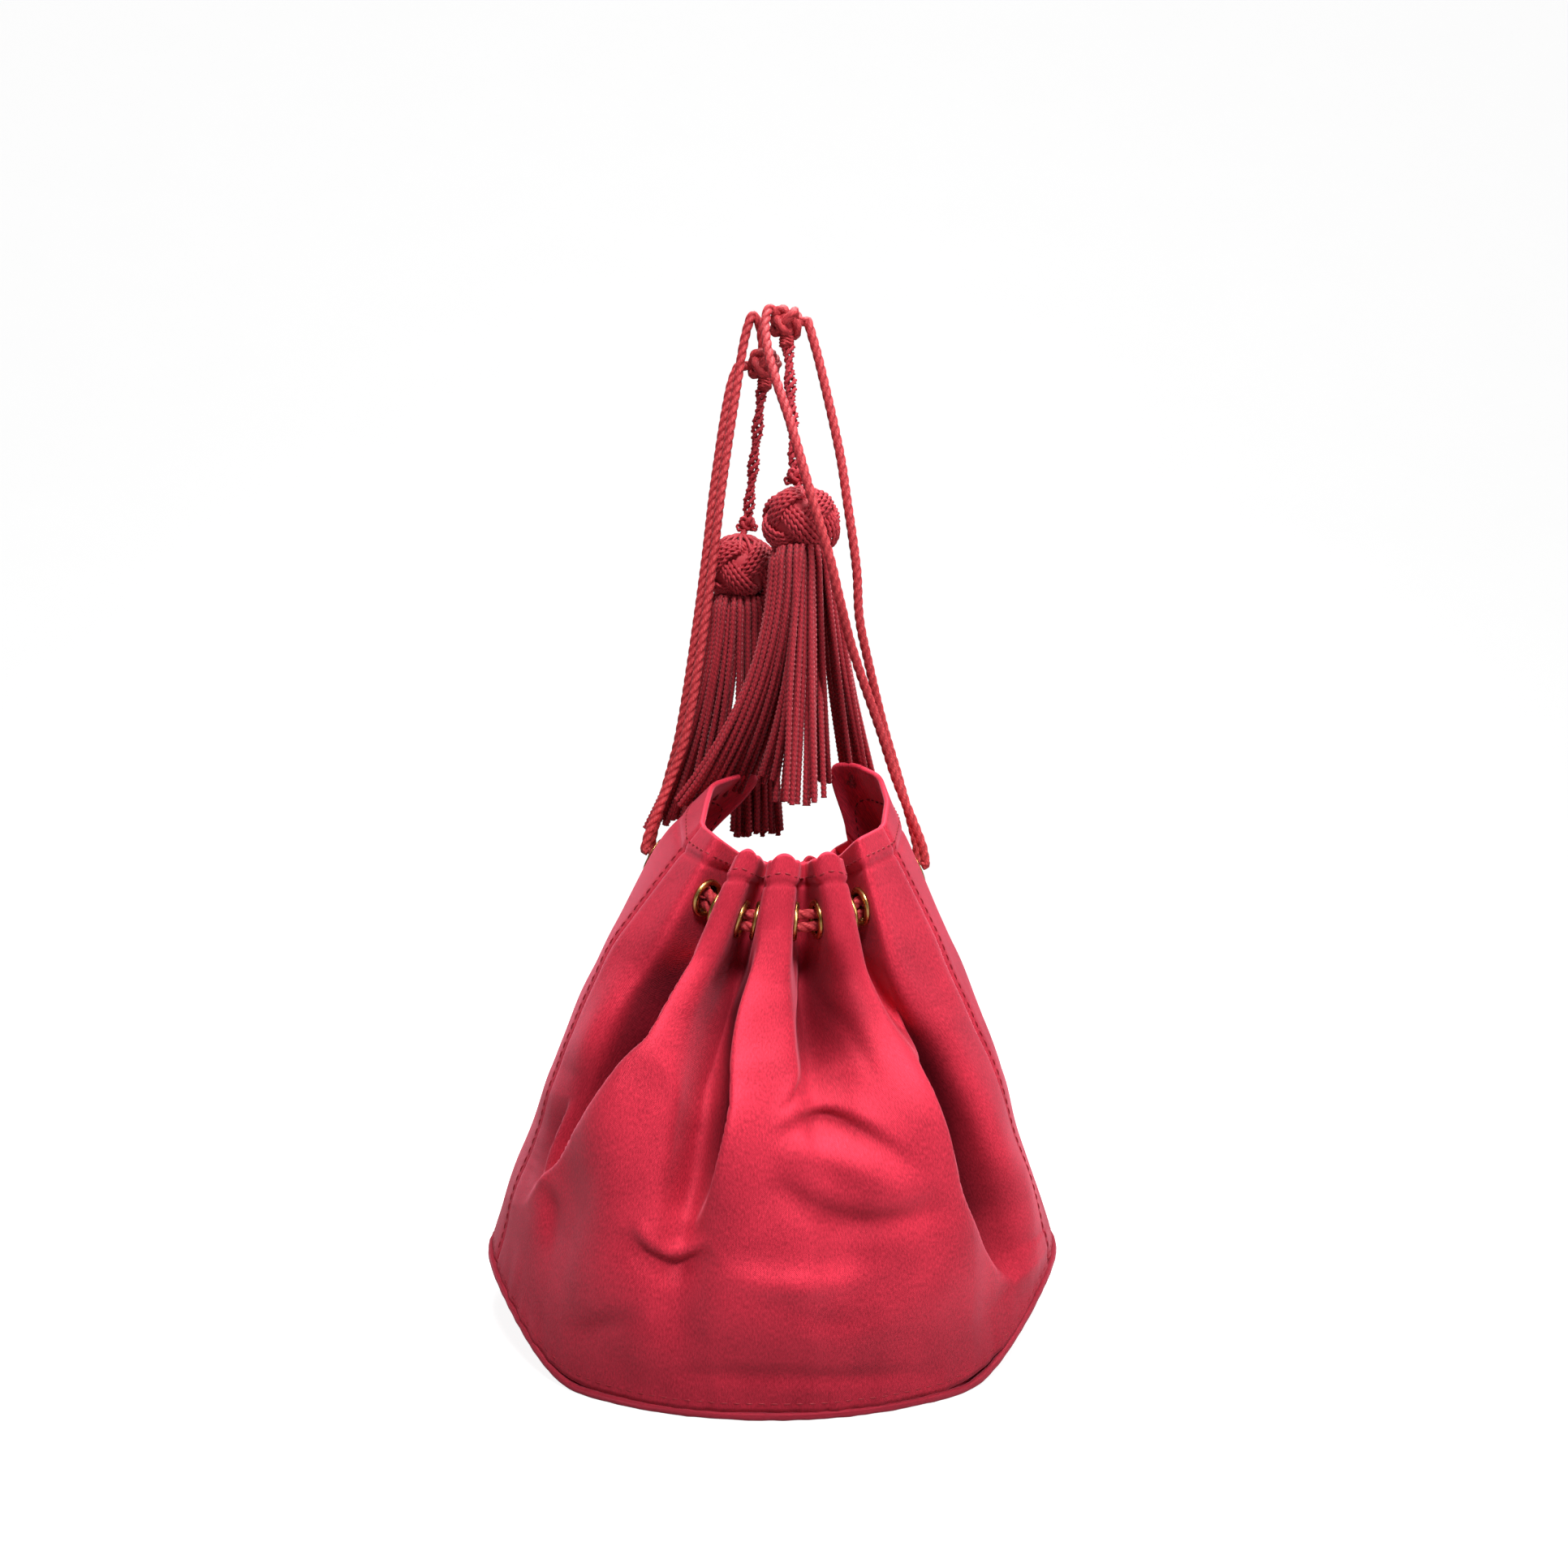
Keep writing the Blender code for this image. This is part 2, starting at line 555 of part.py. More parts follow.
def make_tassel(name, tassel):
    """Braid, top knot, woven head and skirt of one tassel."""
    top, bow, head, end = (Vector(tassel[k]) for k in ("top", "bow", "head", "end"))
    down = (bow - top).normalized()
    tube(name + "_braid", [top, top.lerp(bow, 0.5), bow - down * (BOW_R + CLEAR)], BRAID_R)
    hang = (end - head).normalized()
    bow_profile = ((0, -BOW_R * 0.9), (BOW_R * 0.8, -BOW_R * 0.4), (BOW_R, 0.0), (BOW_R * 0.6, BOW_R * 0.8), (0, BOW_R))
    turned(name + "_top_knot", bow_profile, bow, (0, 0, 1), 8)
    profile = [(0, -HEAD_H / 2)]
    for step in range(5):
        angle = math.radians(-62 + 31 * step)
        profile.append((HEAD_R * math.cos(angle), HEAD_H / 2 * math.sin(angle)))
    profile.append((0, HEAD_H / 2))
    turned(name + "_head", profile, head, -hang, 14)
    length = (end - head).length
    start = HEAD_H / 2 + CLEAR
    spread = tassel["spread"]
    skirt = ((0, -length), (spread * 0.95, -length), (spread, -length * 0.9), (SKIRT_TOP_R + 0.15, -length * 0.4),
             (SKIRT_TOP_R, -start - 0.25), (SKIRT_TOP_R * 0.6, -start), (0, -start))
    turned(name + "_skirt", skirt, head, -hang, 14)


def main():
    clear_scene()
    make_base()
    sheets = make_wall()
    frames = make_eyelets()
    cut_eyelet_holes(sheets, frames)
    make_drawstrings(frames)
    make_loop("left", {"front": LEFT_LOOP_FRONT, "back": LEFT_LOOP_BACK}, LEFT_KNOT, frames)
    make_loop("right", {"front": RIGHT_LOOP_FRONT, "back": RIGHT_LOOP_BACK}, RIGHT_KNOT, frames)
    make_tassel("left_tassel", LEFT_TASSEL)
    make_tassel("right_tassel", RIGHT_TASSEL)


main()
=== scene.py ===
"""Looks of the drawstring bucket bag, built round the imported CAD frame.

Lengths are centimetres, but for the camera, the lights and the stage; a mesh is turned into metres when it
is made.
Front is -Y, +Z is up, the middle of the base stands on z = 0.
"""
import math
import random

import bpy
import numpy as np
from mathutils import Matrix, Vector, noise


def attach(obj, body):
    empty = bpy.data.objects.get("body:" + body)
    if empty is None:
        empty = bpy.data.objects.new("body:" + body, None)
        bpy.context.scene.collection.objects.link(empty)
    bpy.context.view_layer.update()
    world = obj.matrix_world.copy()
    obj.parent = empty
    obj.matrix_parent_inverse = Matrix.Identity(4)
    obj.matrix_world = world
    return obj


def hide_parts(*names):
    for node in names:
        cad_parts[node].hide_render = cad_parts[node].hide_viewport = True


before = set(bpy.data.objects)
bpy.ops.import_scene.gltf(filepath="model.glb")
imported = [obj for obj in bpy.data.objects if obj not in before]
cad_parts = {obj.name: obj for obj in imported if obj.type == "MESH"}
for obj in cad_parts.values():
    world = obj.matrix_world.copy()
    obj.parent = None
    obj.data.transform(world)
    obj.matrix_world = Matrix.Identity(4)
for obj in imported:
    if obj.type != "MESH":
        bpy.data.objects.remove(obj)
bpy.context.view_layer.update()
CM = 0.01

# ---- camera and lights, in metres ----
CAMERA_PLACE = (0.004, -0.40, 0.1735)
CAMERA_LENS = 25.79
CAMERA_SHIFT_Y = 0.0176
WORLD_LIGHT = 0.21      # the camera itself sees a white world
FLOOR_SIDE, FLOOR_FRONT, FLOOR_BACK = 4.0, -3.0, 1.2
COVE_R = 1.0            # the floor curves up into the backdrop
BACKDROP_TOP = 4.0
LIGHT_AIM = (0.0, 0.0, 0.14)
# (name, place, size, watts)
LIGHTS = (
    ("key", (0.12, -0.70, 1.06), 0.26, 15.6),
    ("fill", (0.80, -0.60, 0.50), 0.5, 4.2),
    ("top", (0.10, 0.12, 1.2), 0.5, 12.0),
)

# ---- base, as in the CAD ----
BASE_A = 9.8            # half width of the oval base, along X
BASE_B = 8.0            # half depth of the oval base, along Y
LIFT = 2.30             # how far the two ends of the base are lifted
LIFT_START = 5.6        # half width of the flat middle
LIFT_POWER = 1.1
BASE_T = 0.14
PIPING_R = 0.11
CLEAR = 0.03            # gap between two CAD solids
FABRIC_T = 0.07
CORNER = 0.40           # length of the round bend at each side of a fold
MOST_CORNER = 0.36      # the same as a share of a flank, at most
BULGE = 0.85            # how far the lower wall swells outward

# Shares of the wall's height.
ROW_BASE, ROW_LOW, ROW_MID, ROW_EYE, ROW_RIM = 0.0, 0.24, 0.5, 0.87, 1.0
ROW_BAND = 0.785        # a pleat is straight from here up
FLAT_ROWS = 0.055       # a gusset is straight this far below and above its eyelets

# Fold lines of the front, left to right: angle of its foot on the base, then its place half way up, at the
# eyelets and at the rim.
FRONT_FOLDS = (
    (-70, (-7.20, -3.3, 8.7), (-3.90, -3.05, 14.85), (-2.35, -2.90, 16.85)),
    (-58, (-6.30, -5.2, 8.6), (-2.75, -4.50, 14.60), (-1.75, -4.20, 16.45)),
    (-50, (-5.45, -5.3, 8.6), (-1.50, -2.95, 14.55), (-1.00, -2.80, 15.82)),
    (-46, (-5.00, -5.6, 8.5), (-1.18, -2.90, 14.45), (-0.72, -2.75, 15.78)),
    (-37, (-4.45, -7.1, 8.5), (-2.00, -5.20, 14.00), (-1.12, -4.90, 16.10)),
    (-24, (-2.95, -7.5, 8.4), (-1.20, -5.10, 13.95), (-0.42, -4.80, 16.10)),
    (-17, (-2.35, -6.4, 8.3), (-0.85, -3.00, 13.90), (-0.30, -2.80, 15.60)),
    (-13, (-1.95, -6.4, 8.3), (-0.42, -3.00, 13.85), (0.05, -2.80, 15.56)),
    (-8, (-1.20, -7.7, 8.3), (-0.43, -5.30, 13.85), (-0.05, -5.00, 15.95)),
    (6, (0.75, -7.8, 8.3), (0.65, -5.20, 13.85), (0.85, -4.90, 15.95)),
    (10, (1.30, -7.3, 8.3), (0.72, -3.00, 13.85), (0.85, -2.90, 15.56)),
    (14, (1.80, -7.2, 8.3), (1.20, -3.00, 13.90), (1.25, -2.90, 15.60)),
    (22, (3.10, -7.6, 8.3), (1.79, -5.10, 13.90), (1.35, -4.90, 16.00)),
    (36, (4.90, -6.9, 8.4), (2.70, -5.00, 13.95), (2.25, -4.80, 16.00)),
    (48, (5.00, -5.5, 8.5), (2.15, -2.90, 14.20), (1.90, -2.80, 15.72)),
    (52, (5.40, -5.3, 8.5), (2.50, -2.90, 14.30), (2.25, -2.80, 15.78)),
    (60, (6.35, -5.3, 8.6), (3.30, -4.75, 14.30), (2.75, -4.35, 16.40)),
    (70, (7.40, -3.3, 8.7), (4.75, -2.95, 14.70), (3.70, -2.90, 16.80)),
)
# Fold lines of the right gusset, front to back, between the two seams.
RIGHT_FOLDS = (
    (84, (7.85, -0.8, 8.8), (5.25, -0.20, 15.25), (4.00, -1.10, 17.70)),
    (91, (7.95, 0.9, 8.8), (5.10, 1.35, 15.40), (3.85, 0.35, 18.60)),
    (98, (7.90, 2.3, 8.7), (4.92, 2.88, 15.35), (2.95, 1.35, 19.10)),
    (104, (7.85, 2.9, 8.7), (4.80, 3.12, 15.00), (1.95, 2.05, 19.05)),
)
# Fold lines of the left gusset, back to front, between the two seams.
LEFT_FOLDS = (
    (-104, (-7.10, 3.2, 8.7), (-4.08, 3.10, 15.00), (-0.35, 2.15, 18.60)),
    (-98, (-7.50, 2.6, 8.7), (-4.12, 2.88, 15.60), (-1.20, 1.45, 18.70)),
    (-91, (-7.65, 0.9, 8.8), (-4.22, 1.35, 15.80), (-2.20, 0.30, 18.30)),
    (-84, (-7.60, -0.8, 8.8), (-4.30, -0.20, 15.70), (-2.30, -1.30, 17.60)),
)
TURN_X, TURN_Y = 0.35, 0.1      # the back repeats the front, turned half a turn about this upright line
BACK_RIM_DROP = 0.6

# (name, number of the fold line before it, share of the way to the next one)
FRONT_EYELETS = (
    ("outer_left", 1, 0.50),
    ("pleat_1_left", 3, 0.58),
    ("pleat_1_right", 5, 0.50),
    ("pleat_2_left", 7, 0.50),
    ("pleat_2_right", 9, 0.50),
    ("pleat_3_left", 11, 0.50),
    ("pleat_3_right", 13, 0.46),
    ("outer_right", 15, 0.50),
)
SIDE_EYELETS = (("front", 1, 0.54), ("back", 2, 0.44))
EYE_HOLE_R = 0.435
EYE_FLANGE_R = 0.64
EYE_OUT, EYE_IN = 0.045, -0.175         # the barrel's two ends, along the eyelet's own line
BARREL_T = 0.045
EYE_RISE = 0.125        # height of the round flange
EXIT_RISE = 0.05        # the same where a cord leaves
FABRIC_HOLE_R = 0.53

# ---- cords, as in the CAD ----
CORD_R = 0.165
STACK = 0.200           # half the distance between the two cords lying one above the other
CORD_END = 0.175         # how far outside its eyelet a drawstring ends
PIVOT = 0.39            # how far outside it a loop turns
DRAWSTRING_STEPS = 4
LOOP_STEPS = 2
INSIDE_RIGHT = ((3.70, -3.30, 14.62), (4.05, -1.30, 14.85), (4.15, 0.40, 15.00), (4.05, 2.00, 14.95),
                (3.65, 3.05, 14.65))
INSIDE_LEFT = ((-2.95, 3.50, 13.95), (-3.25, 2.20, 14.45), (-3.30, 0.40, 14.80), (-3.25, -1.30, 14.80),
               (-2.85, -3.00, 14.45))
LEFT_LOOP_FRONT = (
    (-4.50, 0.80, 16.60), (-3.72, 1.05, 18.60), (-3.20, 0.95, 20.10), (-2.70, 0.85, 22.80),
    (-2.18, 0.75, 26.40), (-1.82, 0.65, 29.30), (-1.22, 0.50, 33.20), (-0.98, 0.40, 34.50),
    (-0.72, 0.40, 35.20), (-0.48, 0.60, 34.90), (-0.40, 0.75, 34.45),
)
LEFT_LOOP_BACK = (
    (-4.50, 2.15, 16.55), (-3.95, 2.20, 18.60), (-3.52, 1.80, 20.10), (-3.02, 1.35, 22.80),
    (-2.50, 1.20, 26.40), (-2.15, 1.15, 29.30), (-1.62, 1.05, 32.60), (-1.30, 1.10, 33.60),
    (-1.08, 1.10, 33.65),
)
RIGHT_LOOP_FRONT = (
    (5.38, 0.68, 16.20), (4.45, 0.55, 18.50), (3.84, 0.00, 20.20), (2.77, -1.00, 23.00),
    (2.31, -1.75, 24.50), (1.94, -2.15, 25.90), (1.27, -2.30, 28.10), (0.62, -2.00, 30.50),
    (-0.05, -1.30, 32.80), (-0.26, -0.75, 34.30), (-0.17, -0.52, 34.98), (-0.06, -0.43, 35.08),
)
RIGHT_LOOP_BACK = (
    (5.34, 2.10, 16.20), (4.72, 2.05, 18.50), (4.10, 1.70, 20.50), (3.50, 1.00, 22.70),
    (3.12, 0.50, 24.30), (3.00, 0.20, 26.00), (2.65, 0.00, 28.40), (2.37, 0.00, 30.20), (1.67, 0.00, 33.30),
    (1.34, 0.00, 34.50), (1.24, 0.00, 34.82),
)
RIGHT_KNOT = (0.49, 0.00, 34.75)
LEFT_KNOT = (-0.31, 0.90, 33.60)
KNOT_R = 0.60
ROPE_PITCH = 1.08       # height of one whole turn of a strand
ROPE_STEP = 0.05        # length of one straight piece of a cord

# ---- tassels ----
HEAD_R = 1.37
HEAD_H = 2.44
SKIRT_TOP_R = 1.15
# A tassel's yarns hang in bundles: which ones, from left to right across the head, and where their ends lie.
RIGHT_TASSEL = {
    "top": (0.56, 0.0, 33.80), "bow": (0.80, -0.45, 29.15), "head": (1.00, -0.50, 27.50),
    "end": (1.02, -0.45, 17.50),
    "fan": (
        {"from": -1.02, "to": -0.28, "left_end": (-3.45, 0.90, 17.75), "right_end": (-1.20, 2.40, 18.30),
         "deep": 0.45, "bend": 2.1},
        {"from": -0.28, "to": -0.12, "left_end": (-1.10, 1.60, 18.60), "right_end": (0.10, 0.60, 18.60),
         "deep": 0.60, "bend": 2.2},
        {"from": -0.12, "to": 0.52, "left_end": (-0.12, -0.50, 17.75), "right_end": (1.95, -0.40, 17.85),
         "deep": 0.85, "bend": 1.0},
        {"from": 0.52, "to": 1.02, "left_end": (1.80, 2.30, 18.60), "right_end": (3.95, 1.90, 18.40),
         "deep": 0.40, "bend": 1.25},
    ),
}
LEFT_TASSEL = {
    "top": (-0.42, 1.00, 32.65), "bow": (-0.98, 1.90, 28.10), "head": (-1.23, 2.00, 26.45),
    "end": (-1.60, 4.40, 17.50),
    "fan": (
        {"from": -1.02, "to": 0.00, "left_end": (-4.90, 3.60, 16.95), "right_end": (-2.30, 3.60, 17.30),
         "deep": 0.40, "bend": 1.75},
        {"from": 0.00, "to": 1.02, "left_end": (-1.60, 4.10, 16.55), "right_end": (0.25, 4.10, 16.70),
         "deep": 0.50, "bend": 1.2},
    ),
}
YARN_R = 0.118          # chainette yarn of the skirts
YARN_PITCH = 0.17
YARN_STEP = 0.0425
HEAD_YARN_R = 0.088
SKIRT_RINGS = ((1.02, 25), (0.82, 20), (0.58, 14), (0.32, 8))     # (share of the radius, number of yarns)

random.seed(7)


# ---- small helpers ----
def spline(knots, values, at, end_slope=None):
    """Smooth curve through values placed at rising knots, ending with a given slope."""
    last = len(knots) - 1
    i = 0
    while i < last - 1 and at > knots[i + 1]:
        i += 1
    span = knots[i + 1] - knots[i]
    t = (at - knots[i]) / span

    def slope(k):
        if k == 0:
            return (values[1] - values[0]) / (knots[1] - knots[0])
        if k == last and end_slope is not None:
            return end_slope
        if k == last:
            return (values[last] - values[last - 1]) / (knots[last] - knots[last - 1])
        return (values[k + 1] - values[k - 1]) / (knots[k + 1] - knots[k - 1])

    m0 = slope(i) * span
    m1 = slope(i + 1) * span
    h00 = 2 * t ** 3 - 3 * t ** 2 + 1
    h10 = t ** 3 - 2 * t ** 2 + t
    h01 = -2 * t ** 3 + 3 * t ** 2
    h11 = t ** 3 - t ** 2
    return values[i] * h00 + m0 * h10 + values[i + 1] * h01 + m1 * h11


def smooth_path(points, steps):
    """A smooth curve through given points, with the same number of steps between each two."""
    route = [Vector(p) for p in points]
    marks = [0.0]
    for a, b in zip(route, route[1:]):
        marks.append(marks[-1] + (b - a).length)
    path = [route[0]]
    for low, high in zip(marks, marks[1:]):
        path += [spline(marks, route, low + (high - low) * k / steps) for k in range(1, steps + 1)]
    return path


def smoothstep(t):
    t = np.clip(t, 0.0, 1.0)
    return t * t * (3 - 2 * t)


def unit(v):
    return v / np.maximum(np.linalg.norm(v, axis=-1, keepdims=True), 1e-12)


def run_lengths(points):
    """Distance along a row of points from its start to each of them."""
    return np.concatenate([[0], np.cumsum(np.linalg.norm(np.diff(points, axis=0), axis=1))])


def at_lengths(at, marks, points):
    """Points at given distances along a row of points."""
    return np.stack([np.interp(at, marks, points[:, k]) for k in range(3)], axis=-1)


def angles(start, stop, step):
    """Angles in radians, from whole degrees."""
    return [math.radians(degrees) for degrees in range(start, stop, step)]


def turn_to(axis):
    """Matrix that turns the upright line to an axis."""
    return np.array(Vector((0, 0, 1)).rotation_difference(Vector(axis)).to_matrix())


def even_path(points, step, closed=False):
    """The same curve with points an even step apart."""
    p = np.array([tuple(q) for q in points], float)
    if closed:
        p = np.vstack([p, p[:1]])
    marks = run_lengths(p)
    count = max(4, int(round(marks[-1] / step)))
    at = np.linspace(0, marks[-1], count + 1)
    if closed:
        at = at[:-1]
    return at_lengths(at, marks, p)


def smooth_object(name, mesh, material):
    """A smooth object of one material, put in the scene."""
    mesh.polygons.foreach_set("use_smooth", np.ones(len(mesh.polygons), bool))
    mesh.materials.append(material)
    return put_in_scene(name, mesh)


def put_in_scene(name, data):
    obj = bpy.data.objects.new(name, data)
    bpy.context.scene.collection.objects.link(obj)
    return obj


class Builder:
    """Collects points, faces and texture places of one mesh, in centimetres."""

    def __init__(self):
        self.points = []
        self.faces = []
        self.places = []
        self.count = 0

    def add(self, points, faces, places=None):
        """points (n, 3), faces with indices from 0, places (n, 2) for the texture."""
        if places is None:
            places = np.zeros((len(points), 2))
        self.points.append(np.asarray(points, float))
        self.places.append(np.asarray(places, float))
        self.faces += [tuple(i + self.count for i in face) for face in faces]
        self.count += len(points)

    def make(self, name, material, body, node=None):
        """The finished object: it rides on its body and may stand for a CAD node."""
        mesh = bpy.data.meshes.new(name)
        points = np.vstack(self.points) * CM
        mesh.from_pydata(points.tolist(), [], self.faces)
        mesh.update()
        places = np.vstack(self.places)
        corner = np.zeros(len(mesh.loops), int)
        mesh.loops.foreach_get("vertex_index", corner)
        layer = mesh.uv_layers.new(name="UVMap")
        layer.data.foreach_set("uv", places[corner].astype(np.float32).ravel())
        obj = smooth_object(name, mesh, material)
        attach(obj, body)
        if node:
            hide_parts(node)
        return obj


def path_frames(path, closed=False, hints=None):
    """Two cross directions at each point of a path."""
    if closed:
        along = unit(np.roll(path, -1, axis=0) - np.roll(path, 1, axis=0))
    else:
        along = unit(np.gradient(path, axis=0))
    if hints is not None:
        side = unit(hints - along * np.sum(hints * along, axis=1, keepdims=True))
        return side, np.cross(along, side)
    side = np.zeros_like(path)
    current = np.array((0.3, -1.0, 0.2))
    for i in range(len(path)):
        current = current - along[i] * current.dot(along[i])
        current = current / np.linalg.norm(current)
        side[i] = current
    return side, np.cross(along, side)


def sweep(builder, path, radius, sides, closed=False, hints=None, start=0.0):
    """A tube along a path. radius(angle, along) gives its outline, where along begins at start."""
    side, other = path_frames(path, closed, hints)
    length = start + run_lengths(path)
    angle = np.arange(sides) * 2 * math.pi / sides
    reach = radius(angle[None, :], length[:, None])
    points = (path[:, None, :] + side[:, None, :] * (np.cos(angle) * reach)[:, :, None]
              + other[:, None, :] * (np.sin(angle) * reach)[:, :, None])
    count = len(path)
    faces = []
    for i in range(count if closed else count - 1):
        j = (i + 1) % count
        for k in range(sides):
            m = (k + 1) % sides
            faces.append((i * sides + k, i * sides + m, j * sides + m, j * sides + k))
    if not closed:
        faces.append(tuple(reversed(range(sides))))
        faces.append(tuple((count - 1) * sides + k for k in range(sides)))
    places = np.stack(np.broadcast_arrays(angle[None, :] / (2 * math.pi), length[:, None]), axis=2)
    builder.add(points.reshape(-1, 3), faces, places.reshape(-1, 2))


def rope_radius(size, pitch=ROPE_PITCH, strands=3, swell=1.0):
    """Outline of a rope of twisted strands, which stand out by their swell."""
    sector = 2 * math.pi / strands

    def radius(angle, along):
        turn = (angle - 2 * math.pi * along / pitch) % sector - sector / 2
        round_ = 0.45 * np.cos(turn) + np.sqrt(np.maximum(0.55 ** 2 - (0.45 * np.sin(turn)) ** 2, 0.01))
        return size * (1 - swell + swell * round_)

    return radius


def chain_radius(size, pitch=YARN_PITCH):
    """Outline of a chainette yarn: four columns of small loops."""

    def radius(angle, along):
        column = np.cos(4 * angle)
        loops = np.cos(2 * math.pi * along / pitch + 0.5 * math.pi * (1 - column))
        return size * (0.82 + 0.07 * column + 0.16 * loops)

    return radius


def lathe(builder, profile, origin, axis, segments, closed=False):
    """Turn a profile of (radius, height) about an axis; a radius of 0 closes the end."""
    turn = turn_to(axis)
    points = []
    rings = []
    for radius, height in profile:
        if radius == 0:
            rings.append([len(points)])
            points.append((0.0, 0.0, height))
            continue
        ring = []
        for k in range(segments):
            angle = 2 * math.pi * k / segments
            ring.append(len(points))
            points.append((radius * math.cos(angle), radius * math.sin(angle), height))
        rings.append(ring)
    pairs = list(zip(rings, rings[1:]))
    if closed:
        pairs.append((rings[-1], rings[0]))
    faces = []
    for low, high in pairs:
        for k in range(segments):
            m = (k + 1) % segments
            if len(low) == 1:
                faces.append((low[0], high[m], high[k]))
            elif len(high) == 1:
                faces.append((low[k], low[m], high[0]))
            else:
                faces.append((low[k], low[m], high[m], high[k]))
    points = np.array(points) @ turn.T + np.array(tuple(origin))
    builder.add(points, faces)


# ---- materials ----
class Nodes:
    """Short hand for a material's node tree."""

    def __init__(self, name):
        self.material = bpy.data.materials.new(name)
        self.material.use_nodes = True
        self.tree = self.material.node_tree
        self.shader = self.tree.nodes["Principled BSDF"]

    def feed(self, node, inputs):
        """Link or set inputs of a node."""
        for key, value in inputs.items():
            if hasattr(value, "is_output"):
                self.tree.links.new(value, node.inputs[key])
            else:
                node.inputs[key].default_value = value

    def shade(self, inputs):
        """Link or set inputs of the shader, and hand over the material."""
        self.feed(self.shader, inputs)
        return self.material

    def node(self, kind, inputs, **settings):
        made = self.tree.nodes.new(kind)
        for key, value in settings.items():
            setattr(made, key, value)
        self.feed(made, inputs)
        return made

    def value(self, kind, inputs, output=0, **settings):
        """One output of a new node."""
        return self.node(kind, inputs, **settings).outputs[output]

    def place(self, kind="UV"):
        return self.value("ShaderNodeTexCoord", {}, kind)

    def noise(self, place, scale, detail, **more):
        return self.value("ShaderNodeTexNoise", {"Vector": place, "Scale": scale, "Detail": detail, **more})

    def stripes(self, place, **more):
        """Diagonal stripes."""
        return self.value("ShaderNodeTexWave", {"Vector": place, **more}, bands_direction='DIAGONAL')

    def bump(self, height, strength, distance):
        return self.value("ShaderNodeBump", {"Strength": strength, "Distance": distance, "Height": height})

    def ramp(self, value, stops):
        made = self.node("ShaderNodeValToRGB", {"Fac": value})
        elements = made.color_ramp.elements
        while len(elements) < len(stops):
            elements.new(0.5)
        for element, (at, colour) in zip(elements, stops):
            element.position = at
            element.color = (*colour, 1)
        return made.outputs["Color"]

    def maths(self, operation, a, b=0.0):
        return self.value("ShaderNodeMath", {0: a, 1: b}, operation=operation)

    def add(self, a, b):
        return self.maths('ADD', a, b)

    def minus(self, a, b):
        return self.maths('SUBTRACT', a, b)

    def times(self, a, b):
        return self.maths('MULTIPLY', a, b)

    def sine(self, turns):
        """Sine of a number of whole turns."""
        return self.maths('SINE', self.times(turns, 2 * math.pi))


def satin_material(name, dark, light):
    """Heavy satin: short brushed threads, soft gloss, a paler nap at grazing angles."""
    n = Nodes(name)
    place = n.place()
    drawn_out = n.value("ShaderNodeMapping", {"Vector": place, "Scale": (22.0, 8.0, 1.0)})
    grain = n.noise(drawn_out, 1.0, 3.0, Roughness=0.6)
    cloud = n.noise(place, 0.55, 3.0)
    weave = n.stripes(place, Scale=12.0, Distortion=1.5, Detail=1.0)
    colour = n.ramp(n.add(n.times(grain, 0.75), n.times(cloud, 0.35)), ((0.40, dark), (0.70, light)))
    # Painted shade and painted light: a per-point attribute of the walls scales the satin's colour, gloss and
    # sheen.
    painted_light_and_shade = n.add(n.value("ShaderNodeAttribute", {}, "Fac", attribute_name="painted_light_and_shade"), 1.0)
    relief = n.add(n.times(grain, 0.7), n.times(weave, 0.3))
    return n.shade({
        "Base Color": n.value("ShaderNodeVectorMath", {0: colour, "Scale": painted_light_and_shade}, operation='SCALE'),
        "Roughness": n.add(n.times(grain, 0.22), 0.41),
        "Metallic": 0.26,
        "Specular IOR Level": n.times(painted_light_and_shade, 0.32),
        "Specular Tint": (1.0, 0.50, 0.60, 1.0),
        "Anisotropic": 0.35,
        "Anisotropic Rotation": 0.25,
        "Sheen Weight": n.times(painted_light_and_shade, 0.36),
        "Sheen Roughness": 0.5,
        "Sheen Tint": (1.0, 0.28, 0.38, 1.0),
        "Normal": n.bump(relief, 0.45, 0.0003),
    })


def yarn_material(name, dark, light, pitch, rough=0.45, chain=0.0, groove=0.0):
    """Twisted shiny yarn: threads wound against the lay of its strands, or a chain of small loops."""
    n = Nodes(name)
    place = n.place()
    around, along = n.node("ShaderNodeSeparateXYZ", {"Vector": place}).outputs[:2]
    threads = n.sine(n.add(n.times(around, 9.0), n.times(along, 6.0 / pitch)))
    mix = n.add(n.times(threads, 0.10), n.noise(place, 9.0, 4.0))
    zigzag = n.times(n.maths('PINGPONG', around, 0.125), 4.0)
    loops = n.sine(n.add(zigzag, n.maths('DIVIDE', along, YARN_PITCH)))
    mix = n.add(mix, n.times(loops, chain))
    # Painted shade: the colour darkens along the grooves between the strands, as strongly as groove says; the
    # bump dips there too.
    strand = n.minus(n.times(around, 3.0), n.times(along, 3.0 / pitch))
    seam = n.maths('POWER', n.minus(1.0, n.times(n.maths('PINGPONG', strand, 0.5), 2.0)), 3.5)
    mix = n.minus(mix, n.times(seam, groove))
    return n.shade({
        "Base Color": n.ramp(mix, ((0.28, dark), (0.68, light))),
        "Roughness": rough,
        "Specular IOR Level": 0.45,
        "Specular Tint": (1.0, 0.5, 0.5, 1.0),
        "Sheen Weight": 0.35,
        "Sheen Roughness": 0.4,
        "Sheen Tint": (1.0, 0.35, 0.38, 1.0),
        "Normal": n.bump(mix, 0.35, 0.0003),
    })


